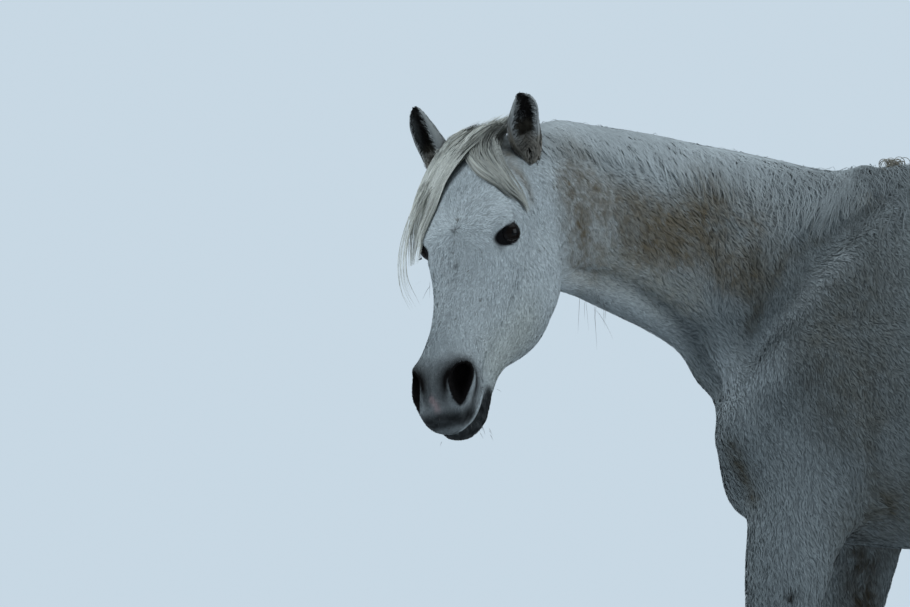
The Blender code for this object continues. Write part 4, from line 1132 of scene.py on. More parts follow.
def mesh_object(name, points, faces, sizes):
    """A smooth mesh object from points, the faces' corners in one row, and each face's number of them."""
    mesh = bpy.data.meshes.new(name)
    mesh.vertices.add(len(points))
    mesh.vertices.foreach_set("co", (points + np.array(CENTRE_SHIFT)).ravel())
    mesh.loops.add(len(faces))
    mesh.loops.foreach_set("vertex_index", faces.astype(np.int32))
    mesh.polygons.add(len(sizes))
    mesh.polygons.foreach_set("loop_start", np.concatenate([[0], np.cumsum(sizes)[:-1]]).astype(np.int32))
    mesh.update(calc_edges=True)
    mesh.shade_smooth()
    return linked(name, mesh)


def set_colour(mesh, name, colours):
    layer = mesh.color_attributes.new(name, "FLOAT_COLOR", "POINT")
    rgba = np.column_stack([np.clip(colours, 0, 1), np.ones(len(colours))])
    layer.data.foreach_set("color", rgba.ravel())


def set_uv(mesh, name, places):
    """A UV map from one place for each vertex."""
    layer = mesh.uv_layers.new(name=name)
    corners = np.empty(len(mesh.loops), int)
    mesh.loops.foreach_get("vertex_index", corners)
    layer.data.foreach_set("uv", places[corners].ravel())


def hair_maps(mesh, places, corners, strand):
    """The bake map, a patch round each lock's place, and the strand map, moved at random for each lock."""
    set_uv(mesh, "OFBake", (places[:, None, :] + corners[None] * PATCH).reshape(-1, 2))
    offset = rng.random((len(places), 1, 2)) * 40
    set_uv(mesh, "strand", (strand[None] + offset).reshape(-1, 2))


def inset(uv):
    """Places on the bake map, kept off its edges."""
    return uv * 0.96 + 0.02


def ribbons(name, paths, faces_out, widths, colours, roots_uv):
    """Flat tapered locks as one mesh. paths and faces_out are locks, points and x, y, z."""
    count, steps, _ = paths.shape
    ahead = unit(np.gradient(paths, axis=1).reshape(-1, 3)).reshape(paths.shape)
    across = np.cross(faces_out, ahead)
    across /= np.maximum(np.linalg.norm(across, axis=2), 1e-9)[..., None]
    share = np.linspace(0, 1, steps)
    taper = np.minimum(1.0, 0.55 + 3 * share) * (1 - share**2.5 * 0.92)
    half = across * (widths[:, None] * taper / 2)[..., None]
    points = np.stack([paths - half, paths + half], axis=2).reshape(-1, 3)
    first = np.arange(count)[:, None] * steps * 2 + np.arange(steps - 1)[None, :] * 2
    quads = np.stack([first, first + 2, first + 3, first + 1], axis=2).reshape(-1)
    obj = mesh_object(name, points, quads, np.full(count * (steps - 1), 4))
    # painted shade and light: each lock darker at its root and lighter towards its tip
    shade = 0.80 + 0.25 * share
    tone = (colours[:, None, :] * shade[None, :, None]).repeat(2, axis=1).reshape(-1, 3)
    set_colour(obj.data, "coat_colour", tone)
    strand = np.column_stack([np.tile((0.0, 1.0), steps), share.repeat(2)])
    hair_maps(obj.data, roots_uv, strand - 0.5, strand)
    return obj


TUFT_ROOT = 0.0012  # how deep in the skin the tufts begin
TUFT_CELL = 0.014  # the tufts with roots in one cell of this size gather
TUFT_SHAPE = np.array([(0, 0), (1, 0), (0, 0.5), (1, 0.5), (0.5, 1)])  # across and along, point by point
TUFT_FACES = np.array([0, 2, 3, 1, 2, 4, 3])
TUFT_LEAN = np.array([-0.35, 0.35, -0.35, 0.35, 0.0])  # how far the shading turns outward
# painted shade and light: each tuft darker at its root and lighter at its tip
TUFT_ROOT_SHADE = np.array([0.88, 0.88, 0.99, 0.99, 1.06])


def gathering(roots, normals, flow):
    """The way across the lie of the coat from each root to its cell's middle."""
    corner = np.floor(roots / TUFT_CELL)
    jitter = np.random.default_rng(17).random((64, 64, 64, 3))
    i, j, k = (corner.astype(int) % 64).T
    pull = (corner + 0.2 + 0.6 * jitter[i, j, k]) * TUFT_CELL - roots
    pull -= normals * (pull * normals).sum(axis=1)[:, None]
    return pull - flow * (pull * flow).sum(axis=1)[:, None]


def tuft_mesh(name, roots, normals, flow, size, colours, places):
    """One thin tuft at each root: a root edge, a middle edge and a tip. size is length, width, depth."""
    length, width, depth = (s[:, None] for s in size)
    roll = rng.normal(0, 0.25, (len(roots), 1))
    across = unit(np.cross(normals, flow) + normals * roll)
    base = roots - normals * TUFT_ROOT
    middle = roots + flow * length * 0.45 + normals * depth * 0.62
    shag = ramp(length[:, 0], 0.011, 0.016)[:, None]
    pull = gathering(roots, normals, flow)
    tip = roots + flow * length + normals * depth * rng.uniform(0.35, 1.0, (len(roots), 1))
    tip += pull * (0.25 + 0.35 * shag)
    # painted shade: tufts out in the gaps between the gathered clumps are darker
    gap_shade = np.minimum(np.linalg.norm(pull, axis=1)[:, None] / (0.6 * TUFT_CELL), 1.0) ** 2
    colours = colours * (1.05 - (0.12 + 0.18 * shag) * gap_shade)
    points = np.stack([
        base - across * width * 0.35,
        base + across * width * 0.35,
        middle - across * width * 0.5,
        middle + across * width * 0.5,
        tip,
    ], axis=1).reshape(-1, 3)
    first = np.arange(len(roots))[:, None] * 5
    obj = mesh_object(name, points, (first + TUFT_FACES[None, :]).reshape(-1), np.tile([4, 3], len(roots)))
    up = unit(normals + 0.25 * flow)
    shading = up[:, None, :] + across[:, None, :] * TUFT_LEAN[None, :, None]
    obj.data.normals_split_custom_set_from_vertices(unit(shading.reshape(-1, 3)))
    toned = (colours[:, None, :] * TUFT_ROOT_SHADE[None, :, None]).reshape(-1, 3)
    set_colour(obj.data, "coat_colour", toned)
    hair_maps(obj.data, places, TUFT_SHAPE - 0.5, TUFT_SHAPE)
    return obj


# Coat


COAT_SIZES = [  # on the body, legs, face, muzzle and neck
    (0.0145, 0.0100, 0.0085, 0.0040, 0.0165),  # length
    (0.0027, 0.0023, 0.0017, 0.0011, 0.0025),  # width
    (0.0032, 0.0026, 0.0017, 0.0010, 0.0042),  # how far the tips stand off the skin
    (76000, 90000, 200000, 280000, 96000),  # tufts on a square metre
]


def coat_size(points):
    """Length, width and depth of the tufts, and how many there are on a square metre."""
    head = head_share(points)
    muzzle = ramp(in_head(points)[:, 0], 0.40, 0.54)
    left = to_left(points)
    strip = near(left, WINDPIPE, 0.050) * ramp(distance_to(left, CREASE), 0.003, 0.012)
    along, angle = neck_place(points)
    shag = ramp(along, 0.15, 0.4) * (1 - head)
    crest = ramp(np.degrees(np.abs(angle)), 55, 20) * shag
    low = np.maximum(ramp(points[:, 2], 0.75, 0.50), np.maximum(strip, 0.8 * crest))

    def blend(body, leg, face, nose, neck):
        value = body + (neck - body) * shag
        value = value + (leg - value) * low
        front = face + (nose - face) * muzzle
        return value + (front - value) * head

    length, width, depth, density = (blend(*row) for row in COAT_SIZES)
    shrink = 0.28 + 0.72 * ramp(lid_share(points), 1.5, 3.4)
    return length * shrink, width * (0.4 + 0.6 * shrink), depth, density


FORE_END = 0.150  # x where the forequarters' coat meets the barrel's
BARREL_END = 0.730
FORELEG_TOP = 0.778  # heights where the legs' coats begin
HINDLEG_TOP = 0.893


def piece_of(points):
    """The number of the coat piece each point belongs to, in COAT_PIECES."""
    local = in_head(points)
    on_head = (local @ np.array((1, 0, 0.32)) > -0.037) & (points[:, 1] < -0.30)
    on_neck = (points - (-0.195, 0, 1.275)) @ np.array((-0.45, 0, 0.29)) > 0
    x, y, z = points.T
    _, angle = neck_place(points)
    piece = np.where(x < FORE_END, 4, np.where(x < BARREL_END, 6, 8)) + (y > 0)
    piece = np.where(on_neck, 2 + (angle > 0), piece)
    piece = np.where(on_head, local[:, 1] < 0, piece)
    piece = np.where((z < FORELEG_TOP) & (x < 0.4), 10, piece)
    return np.where((z < HINDLEG_TOP) & (x > BARREL_END), 11, piece)


COAT_PIECES = [  # name, slot
    ("coat_head_left", "face_pale"),
    ("coat_head_right", "face_pale"),
    ("coat_neck_left", "coat_grey"),
    ("coat_neck_right", "coat_grey"),
    ("coat_forequarters_left", "coat_grey"),
    ("coat_forequarters_right", "coat_grey"),
    ("coat_barrel_left", "coat_grey"),
    ("coat_barrel_right", "coat_grey"),
    ("coat_hindquarters_left", "coat_grey"),
    ("coat_hindquarters_right", "coat_grey"),
    ("coat_forelegs", "leg_dusky"),
    ("coat_hindlegs", "leg_dusky"),
]
LEG_UNWRAP = 0.90  # height of the legs' unwrap


def unwrap(points, piece):
    """Places on an unwrap of the skin round the trunk, neck, head or legs, from 0 to 1."""
    if piece < 2:
        local = in_head(points)
        u = (local[:, 0] + 0.08) / 0.72
        v = np.arctan2(local[:, 2] + 0.10, np.abs(local[:, 1])) / math.pi + 0.5
    elif piece < 4:
        u, angle = neck_place(points)
        v = np.abs(angle) / math.pi
    elif piece < 10:
        u = (points[:, 0] + 0.40) / 1.65
        v = np.arctan2(points[:, 2] - 1.12, np.abs(points[:, 1])) / math.pi + 0.5
    else:
        right = points[:, 1] > 0
        names = ("fore_left", "fore_right") if piece == 10 else ("hind_left", "hind_right")
        rows = np.array(leg_table(names[0]))[::-1]
        middle = np.interp(points[:, 2], rows[:, 0], rows[:, 1])
        x = np.where(right, leg_x(names[1], middle, points[:, 2]), leg_x(names[0], middle, points[:, 2]))
        y = np.where(right, 1, -1) * np.interp(points[:, 2], rows[:, 0], rows[:, 5])
        turn = np.arctan2(points[:, 1] - y, points[:, 0] - x) / (2 * math.pi) + 0.5
        u = (turn * 0.94 + 0.03 + right) / 2
        v = points[:, 2] / LEG_UNWRAP
    return inset(np.clip(np.column_stack([u, v]), 0, 1))


def scatter(surface, triangles, density):
    """Random places on some of a surface's triangles, with their normals. density is for each triangle."""
    points, normals, tris, areas = surface[:4]
    weight = areas[triangles] * density
    count = int(weight.sum())
    chosen = triangles[np.searchsorted(np.cumsum(weight), rng.random(count) * weight.sum())]
    a = np.sqrt(rng.random(count))[:, None]
    b = rng.random(count)[:, None]
    shares = np.stack([1 - a, a * (1 - b), a * b], axis=1)
    corners = tris[chosen]
    return (points[corners] * shares).sum(axis=1), unit((normals[corners] * shares).sum(axis=1))


DARK_HAIRS = 0.03  # share of the tufts
LENGTH_SPREAD = (0.7, 1.25)
WIDTH_SPREAD = (0.7, 1.2)


def tone(count, spread):
    """A random brightness for each tuft, with a few much darker hairs."""
    values = 1 + rng.normal(0, spread, count)
    return values * np.where(rng.random(count) < DARK_HAIRS, 0.68, 1.0)


def surface_of(mesh):
    """The skin's points, normals and triangles, and each triangle's area and middle."""
    points, normals = vertex_arrays(mesh)
    mesh.calc_loop_triangles()
    tris = np.empty(len(mesh.loop_triangles) * 3, int)
    mesh.loop_triangles.foreach_get("vertices", tris)
    tris = tris.reshape(-1, 3)
    a, b, c = points[tris].transpose(1, 0, 2)
    areas = np.linalg.norm(np.cross(b - a, c - a), axis=1) / 2
    return points, normals, tris, areas, (a + b + c) / 3


def add_coat(surface, body_count):
    """Tufts all over the skin, in one piece for each part of the body."""
    _, _, tris, _, middles = surface
    body = np.flatnonzero(tris[:, 0] < body_count)
    piece = piece_of(middles[body])
    made = []
    for number, (name, slot) in enumerate(COAT_PIECES):
        own = body[piece == number]
        share = 1.0
        density = coat_size(middles[own])[3] * (1 - bare_skin(middles[own])) * share
        roots, normals = scatter(surface, own, density)
        length, width, depth, _ = coat_size(roots)
        length = length * rng.uniform(*LENGTH_SPREAD, len(roots))
        width = width * rng.uniform(*WIDTH_SPREAD, len(roots)) / share**0.5
        flow = lie_of_coat(roots, normals)
        swirl = 0.8 * (noise(roots, 0.045, seed=21) - 0.5) + 0.3 * (noise(roots, 0.015, seed=22) - 0.5)
        flow = turned(flow, normals, swirl + rng.normal(0, 0.10, len(roots)))
        colours = coat_colour(roots) * tone(len(roots), 0.09)[:, None]
        obj = tuft_mesh(name, roots, normals, flow, (length, width, depth), colours, unwrap(roots, number))
        made.append((obj, slot))
    return made


# Hair


def lock_count(part):
    """How many locks to make of a part's hair."""
    full, quick = LOCKS[part]
    return full


def laid(tree, guides, offsets):
    """Points near the guides but at least offset outside the skin, with the skin's normals there."""
    places = np.empty_like(guides)
    normals = np.empty_like(guides)
    for index in np.ndindex(guides.shape[:2]):
        guide = Vector(guides[index])
        place, normal, _, distance = tree.find_nearest(guide)
        outside = (guide - place).dot(normal)
        normals[index] = normal
        if outside < offsets[index] or distance < offsets[index] * 1.5:
            places[index] = place + normal * offsets[index]
        else:
            places[index] = guide
    return places, normals


def add_mane(tree):
    """Locks from the crest down the right side of the neck."""
    rings = neck_rings(8)
    count = lock_count("mane")
    start = rng.uniform(0.06, 0.97, count) * (len(rings) - 1)
    reach = rng.uniform(60, 100, count)  # degrees from the crest, like angle
    share = np.linspace(0, 1, 9)[None, :]
    angle = rng.uniform(5, 14, count)[:, None] + reach[:, None] * share**0.9
    wave = 0.5 * np.sin(share * 7 + rng.uniform(0, 6, count)[:, None]) * share
    step = np.clip(start[:, None] - 5.0 * share + wave, 0, len(rings) - 1.001)
    bulge = np.sin(np.pi * 0.95 * share) ** 1.5 * rng.uniform(0.003, 0.015, count)[:, None]
    places, normals = laid(tree, on_rings(rings, step, angle), 0.002 + bulge)
    colours = hair_colour(count, PALE, CREAM)
    uv = inset(np.column_stack([start / len(rings), np.full(count, 0.1) + 0.8 * rng.random(count)]))
    return ribbons("mane_locks", places, normals, rng.uniform(*WIDTHS["mane"], count), colours, uv)


def on_rings(rings, step, angle):
    """Points on the neck at places along its rings and angles in degrees from the crest."""
    low = np.floor(step).astype(int)
    part = (step - low)[..., None]
    turn = angle / 360 * RING_SIDES
    side = np.floor(turn).astype(int)
    rest = (turn - side)[..., None]

    def ring(i, j):
        return rings[i, j % RING_SIDES]

    near_ring = ring(low, side) * (1 - rest) + ring(low, side + 1) * rest
    far_ring = ring(low + 1, side) * (1 - rest) + ring(low + 1, side + 1) * rest
    return near_ring * (1 - part) + far_ring * part


def hair_colour(count, a, b):
    """A random mixture of two colours for each lock, some of them darker."""
    share = rng.random((count, 1))
    colours = np.array(a) * (1 - share) + np.array(b) * share
    return colours * (0.72 + 0.36 * rng.random((count, 1)))


def add_crest_hair(tree):
    """Fine short hair that stands up along the crest and falls down its left side into the coat."""
    rings = neck_rings(8)
    count = lock_count("crest")
    start = rng.uniform(0.02, 0.985, count)[:, None] * (len(rings) - 1)
    share = np.linspace(0, 1, 5)[None, :]
    root = rng.uniform(0, 1, count)[:, None] ** 1.6  # from the crest to the lowest roots
    angle = 10 - 58 * root + rng.normal(0, 4, (count, 1)) - rng.uniform(5, 20, (count, 1)) * share
    back = rng.uniform(0.7, 1.9, (count, 1)) * share
    back += 0.3 * np.sin(share * 4 + rng.uniform(0, 6, (count, 1)))
    step = np.clip(start - back, 0, len(rings) - 1.001)
    rise = rng.uniform(0.0015, 0.0085, (count, 1)) * (1 - 0.80 * root)
    tall = rng.random((count, 1)) < 0.10
    rise += np.where(tall, rng.uniform(0.003, 0.009, (count, 1)), 0.0) * (root < 0.25)
    height = rise * np.sin(np.pi * (0.10 + 0.80 * share)) * 1.3 + 0.0010
    paths, normals = laid(tree, on_rings(rings, step, angle), height)
    normals = unit(normals + 0.35 * np.array((0, 0, 1)))
    paler = 0.38 * ramp(root[:, 0], 0.7, 0.0)
    colours = mix(coat_colour(paths[:, 2]), PALE, paler) * rng.uniform(0.72, 1.12, (count, 1))
    uv = inset(np.column_stack([start[:, 0] / len(rings), 0.1 + 0.8 * rng.random(count)]))
    return ribbons("crest_hair", paths, normals, rng.uniform(*WIDTHS["crest"], count), colours, uv)


FORELOCK_COLOURS = ((0.80, 0.83, 0.79), (0.78, 0.78, 0.69))
FORELOCK_ROOTS = (-0.052, -0.030)  # x and z of the roots, in the head's frame
FORELOCKS = [  # name, locks, tresses, tone as painted light and shade (the right lock brighter, the left darker), y of the roots, guide in the head's frame, half width along it
    ("forelock_right_locks", 1500, 38, 1.20, (-0.052, 0.030), [
        (-0.022, -0.012, 0.012), (0.022, -0.026, 0.023), (0.062, -0.052, 0.020), (0.108, -0.074, 0.012),
        (0.161, -0.088, 0.001), (0.2125, -0.097, -0.012), (0.262, -0.102, -0.030)],
     [0.034, 0.038, 0.039, 0.039, 0.037, 0.028, 0.014]),
    ("forelock_left_locks", 480, 20, 0.66, (-0.012, 0.056), [
        (-0.022, 0.010, 0.006), (0.022, 0.008, 0.018), (0.062, 0.018, 0.020), (0.103, 0.042, 0.014),
        (0.132, 0.068, 0.001), (0.148, 0.084, -0.025), (0.160, 0.091, -0.058)],
     [0.030, 0.032, 0.030, 0.025, 0.019, 0.013, 0.006]),
    ("forelock_wisps", 36, 13, 0.9, (-0.046, -0.020), [
        (0.030, -0.040, 0.018), (0.100, -0.080, 0.014), (0.170, -0.108, 0.002), (0.235, -0.122, -0.016),
        (0.300, -0.116, -0.034), (0.350, -0.088, -0.052)],
     [0.012, 0.014, 0.014, 0.014, 0.012, 0.010]),
]


def on_guide(guide, widths, share):
    """A guide's points, its ways to the side and its half widths, at shares of its length."""
    path = smooth_rows(guide, 6)
    wide = smooth_rows([(w,) for w in widths], 6)
    out = unit(np.column_stack([path[:, 0] * 0, path[:, 1] * 4, np.ones(len(path))]))
    across = unit(np.cross(unit(np.gradient(path, axis=0)), out))
    table = np.hstack([path, across, wide])
    spot = share * (len(path) - 1)
    rows = np.stack([np.interp(spot, np.arange(len(path)), column) for column in table.T], axis=-1)
    return rows[..., :3], rows[..., 3:6], rows[..., 6]


def add_forelock(tree, name, count, tresses, lock_painted_light, roots_from, guide, widths):
    """Locks that start between the ears and gather into tresses along a guide."""
    tress = rng.integers(0, tresses, count)
    reach = rng.uniform(0.70, 1.0, tresses)
    begin = rng.uniform(0.0, 0.12, count)[:, None]
    end = np.clip(reach[tress] + rng.normal(-0.03, 0.09, count), 0.3, 1.0)[:, None]
    run = np.linspace(0, 1, 16)[None, :]
    share = begin + (end - begin) * run
    middle, sideways, half = on_guide(guide, widths, share)
    knot = (tress * 2 / (tresses - 1) - 1)[:, None]
    lane = knot + rng.normal(0, 1.3 / tresses, count)[:, None] * (1.3 - share)
    wave = 0.0014 * np.sin(share * 13 + 1.7 * tress[:, None] + rng.normal(0, 0.5, count)[:, None])
    local = middle + sideways * (lane * half + wave)[..., None]
    root_y = roots_from[0] + (roots_from[1] - roots_from[0]) * (0.5 - knot[:, 0] / 2)
    root_y = np.clip(root_y + rng.normal(0, 0.006, count), *roots_from)
    root_x = rng.normal(FORELOCK_ROOTS[0], 0.008, count)
    roots = np.column_stack([root_x, root_y, np.full(count, FORELOCK_ROOTS[1])])
    gather = ramp(run, 0.0, 0.40)[..., None]
    guides = (roots[:, None] * (1 - gather) + local * gather) @ HEAD_AXES.T + np.array(POLL)
    layer = rng.random(count)  # from the skin outward
    mound = 0.018 * np.exp(-(((share - 0.10) / 0.20) ** 2))
    lift = (0.003 + mound + 0.009 * np.sin(np.pi * (0.10 + 0.75 * share))) * (0.20 + 0.80 * layer)[:, None]
    lift = lift * ramp(run, -0.02, 0.10) * np.sqrt(np.clip(1 - 0.85 * lane**2, 0.05, 1)) + 0.001
    places, normals = laid(tree, guides, lift)
    colours = hair_colour(count, *FORELOCK_COLOURS)
    # painted light and shade: each lock's tone, with a random tone for each tress
    colours *= lock_painted_light * (0.78 + 0.34 * rng.random(tresses))[tress][:, None]
    # painted shade: locks lower in the layer, nearer the skin, are darker
    colours *= (0.60 + 0.50 * ramp(layer, 0.0, 0.7))[:, None]
    colours *= np.where(rng.random((count, 1)) < 0.12, 0.45, 1.0)
    normals = unit(normals + 1.3 * HEAD_AXES[:, 2])
    uv = np.column_stack([np.clip(0.5 + lane[:, 0] * 0.3, 0.05, 0.95), 0.1 + 0.8 * rng.random(count)])
    return ribbons(name, places, normals, rng.uniform(*WIDTHS["forelock"], count), colours, uv)


TAIL = [  # x, z, half depth, half width
    (1.110, 1.395, 0.018, 0.024),
    (1.165, 1.375, 0.024, 0.030),
    (1.207, 1.315, 0.027, 0.036),
    (1.226, 1.220, 0.030, 0.044),
    (1.234, 1.080, 0.032, 0.053),
    (1.238, 0.900, 0.033, 0.060),
    (1.238, 0.700, 0.032, 0.063),
    (1.232, 0.500, 0.028, 0.060),
    (1.224, 0.360, 0.022, 0.048),
    (1.218, 0.280, 0.014, 0.034),
]
TRESSES = 26
CORE_X = 1.21  # a place inside the tail's core
CORE_SHADE_COLOUR = (0.20, 0.20, 0.18)
CORE_SHARE = 0.62  # the core's size against the tail's


def add_tail():
    """Long locks round the dock, gathered in wavy tresses that end at different heights."""
    rows = smooth_rows(TAIL, 6)
    count = lock_count("tail")
    tress = rng.integers(0, TRESSES, count)
    begin = rng.uniform(0.0, 0.42, count)[:, None] * (rng.random((count, 1)) < 0.85)
    reach = 1 - 0.16 * rng.random(TRESSES) ** 2
    end = reach[tress] - np.abs(rng.normal(0, 0.06, count))
    end = np.minimum(end, begin[:, 0] + rng.uniform(0.45, 1.0, count))
    share = begin + (end[:, None] - begin) * np.linspace(0, 1, 14)[None, :]
    spot = share * (len(rows) - 1)
    x, z, depth, half = (np.interp(spot, np.arange(len(rows)), rows[:, k]) for k in range(4))
    way = (2 * math.pi * tress / TRESSES)[:, None] + rng.normal(0, 0.30, (count, 1)) * (1.2 - share)
    depth_in = np.sqrt(rng.uniform(0.25, 1.0, count))[:, None]
    phase = rng.uniform(0, 6, TRESSES)[tress][:, None] + rng.normal(0, 0.3, (count, 1))
    sway = 0.20 * np.sin(share * 11 + phase) * ramp(share, 0.15, 0.8)
    fore = (np.cos(way) * depth_in + 0.5 * sway) * depth
    side = (np.sin(way) * depth_in + sway) * half
    paths = np.stack([x + fore, side, z], axis=2)
    out = np.stack([np.cos(way), np.sin(way), 0 * x], axis=2)
    colours = hair_colour(count, PALE, CREAM) * (0.72 + 0.36 * rng.random(TRESSES))[tress][:, None]
    uv = np.column_stack([0.05 + 0.9 * (way[:, 0] / (2 * math.pi) % 1), 0.05 + 0.9 * begin[:, 0]])
    return ribbons("tail_locks", paths, out, rng.uniform(*WIDTHS["tail"], count), colours, uv)


def core_uv(mesh):
    """An unwrap of the tail's core: round it, and along it."""
    points, _ = vertex_arrays(mesh)
    x, y, z = (points - np.array(CENTRE_SHIFT)).T
    turn = np.arctan2(y, x - CORE_X)
    return np.column_stack([0.5 + 0.46 * turn / math.pi, np.clip((z - 0.2) / 1.25, 0.02, 0.98)])


def add_tail_core():
    """The dock and the inner hair, coloured dark as painted shade behind the locks."""
    bm = bmesh.new()
    rings = []
    for x, z, depth, half in smooth_rows(TAIL[:9], 4):
        rings.append([
            Vector((x + CORE_SHARE * depth * math.cos(a), CORE_SHARE * half * math.sin(a), z))
            for a in np.arange(24) / 24 * 2 * math.pi
        ])
    bridge(bm, rings)
    return from_bmesh("tail_core", bm)


def from_bmesh(name, bm):
    """An object of a bmesh made in the working frame."""
    bmesh.ops.recalc_face_normals(bm, faces=bm.faces)
    mesh = bpy.data.meshes.new(name)
    bm.to_mesh(mesh)
    bm.free()
    mesh.transform(Matrix.Translation(CENTRE_SHIFT))
    mesh.shade_smooth()
    return linked(name, mesh)


WHISKER_PATCHES = [  # place in the head's frame, reach, hairs, length, direction in the head's frame
    ((0.545, 0.030, -0.165), 0.022, 8, 0.012, (0.35, 0.30, -1.0)),
    ((0.565, 0.040, -0.120), 0.020, 6, 0.010, (0.70, 0.70, -0.3)),
    ((0.590, 0.000, -0.085), 0.018, 4, 0.008, (1.0, 0.0, -0.2)),
    ((0.520, 0.055, -0.100), 0.020, 8, 0.012, (0.3, 1.0, -0.3)),
    ((0.285, 0.085, -0.060), 0.010, 3, 0.022, (0.6, 1.0, -0.2)),
]
THROAT_HAIRS = (-0.507, -0.263, 1.260)
LASHES = 46
WHISKER_COLOUR = (0.05, 0.05, 0.05)


def feelers():
    """Roots, ways and lengths of the long hairs on the lips, the chin and under the eyes."""
    rows = []
    for place, reach, hairs, length, way in WHISKER_PATCHES:
        for side in (1, -1):
            flip = np.array((1, side, 1))
            for _ in range(hairs):
                root = (np.array(place) + rng.normal(0, reach * 0.5, 3)) * flip
                root = HEAD_AXES @ root + np.array(POLL)
                heading = HEAD_AXES @ (np.array(way) * flip + rng.normal(0, 0.35, 3))
                rows.append((root, heading, length * rng.uniform(0.5, 1.2)))
    return rows


def throat_hairs():
    """Roots, ways and lengths of the long hairs under the throat."""
    rows = []
    for _ in range(12):
        root = np.array(THROAT_HAIRS) + rng.normal(0, 1, 3) * (0.02, 0.03, 0.01)
        heading = np.array((0.05, 0.05, -1.0)) + rng.normal(0, 0.30, 3)
        rows.append((root, heading, rng.uniform(0.015, 0.055)))
    return rows


def lashes(side):
    """Roots, ways and lengths of the lashes along one upper lid."""
    origin, axes = local_frame(EYE_CENTRE, EYE_OUT, EYE_LONG, side)
    rows = []
    for spot in np.linspace(-0.85, 0.9, LASHES):
        edge = axes[0] * spot * EYE_HALF[0] + axes[1] * EYE_HALF[1] * math.sqrt(1 - spot**2)
        heading = axes[2] * 0.8 - axes[1] * 0.35 + axes[0] * spot * 0.5 + rng.normal(0, 0.08, 3)
        rows.append((origin + edge + axes[2] * 0.022, heading, rng.uniform(0.003, 0.007)))
    return rows


def add_whiskers(tree):
    """Feelers on the lips and chin, long hairs under the throat, and lashes."""
    rows = feelers() + throat_hairs()
    for side in SIDE:
        rows += lashes(side)
    roots, ways, lengths = (np.array(column) for column in zip(*rows))
    ways = unit(ways)
    roots, _ = laid(tree, roots[:, None], np.full((len(roots), 1), -0.001))
    share = np.linspace(0, 1, 6)[None, :, None]
    droop = np.array((0, 0, -1.0)) * 0.35 * share**2
    paths = roots + (ways[:, None] * share + droop) * lengths[:, None, None]
    facing = np.cross(ways, (0.3, 1.0, 0.2))[:, None] + 0 * paths
    colours = np.tile(WHISKER_COLOUR, (len(roots), 1)) * rng.uniform(0.5, 2.5, (len(roots), 1))
    x, y, _ = in_head(roots[:, 0]).T
    uv = inset(np.clip(np.column_stack([x + 0.3, (y + 0.3) / 0.6]), 0, 1))
    return ribbons("whiskers", paths, facing, rng.uniform(*WIDTHS["whiskers"], len(roots)), colours, uv)


CURL_PLACE = (-0.012, 0.000, 1.503)
CURL_COLOURS = ((0.40, 0.38, 0.32), (0.16, 0.14, 0.11))


def add_curl():
    """A curly end of mane on the withers."""
    count = 60
    share = np.linspace(0, 1, 18)[None, :]
    root = np.array(CURL_PLACE) + rng.normal(0, 1, (count, 3)) * (0.009, 0.006, 0.002)
    size = rng.uniform(0.005, 0.012, count)[:, None]
    turn = rng.uniform(3.5, 7.0, count)[:, None] * share + rng.uniform(-0.8, 0.8, count)[:, None]
    x = root[:, :1] + size * (np.sin(turn) + 0.5 * share)
    z = root[:, 2:] + size * (1.1 - np.cos(turn)) * np.minimum(1, 3 * share)
    y = root[:, 1:2] + rng.normal(0, 0.010, count)[:, None] * share
    paths = np.stack([x, y, z], axis=2)
    out = np.broadcast_to(np.array((0.1, -1.0, 0.2)), paths.shape)
    uv = np.column_stack([0.1 + 0.8 * rng.random(count), 0.1 + 0.8 * rng.random(count)])
    widths = rng.uniform(*WIDTHS["curl"], count)
    return ribbons("withers_curl", paths, out, widths, hair_colour(count, *CURL_COLOURS), uv)


# Ears' coat


def ear_place(points, side):
    """Share of an ear's length, angle from its back in degrees, and how near a point is to the edge."""
    root, up, front, _ = (np.array(v) for v in ear_frame(side))
    rel = points - root
    share = rel @ up / EAR_LENGTH
    across = np.cross(up, front)
    angle = np.degrees(np.arctan2(rel @ across, -(rel @ front)))
    rows = np.array(EAR_ROWS)
    wrap = np.interp(share, rows[:, 0], rows[:, 3])
    return share, angle, ramp(wrap - np.abs(angle), 62, 10)


EAR_GREY = (0.40, 0.42, 0.42)
EAR_BROWN = (0.22, 0.19, 0.150)
EAR_BUFF = (0.24, 0.215, 0.17)
EAR_CUP_SHADE = (0.010, 0.009, 0.010)
EAR_TIP = (0.045, 0.044, 0.046)
EAR_DENSITY = 225000.0  # tufts on a square metre


def ear_colour(points, normals, side):
    """The ears' colours, and which points are inside them: pale grey outside, dark at the tip, their dark
    inner skin made near black within as painted shade in the cup, with a pale fringe at the edges."""
    root, up, _, _ = (np.array(v) for v in ear_frame(side))
    share, _, edge = ear_place(points, side)
    centre = root + up * (share * EAR_LENGTH)[:, None]
    inside = ((points - centre) * normals).sum(axis=1) < 0
    colour = np.tile(EAR_GREY, (len(points), 1))
    colour = mix(colour, EAR_BROWN, 0.75 * ramp(share, 0.45, 0.1))
    within = np.where(inside, 1.0, 0.0) * (1 - 0.80 * edge * ramp(share, 0.95, 0.7))
    # painted shade: near black within the cup, buff towards its base
    deep = np.tile(EAR_CUP_SHADE, (len(points), 1))
    deep = mix(deep, EAR_BUFF, ramp(share, 0.44, 0.08) + 0.10 * noise(points, 0.006, seed=31))
    colour += (deep - colour) * within[:, None]
    return mix(colour, EAR_TIP, ramp(share, 0.93, 0.99)), inside


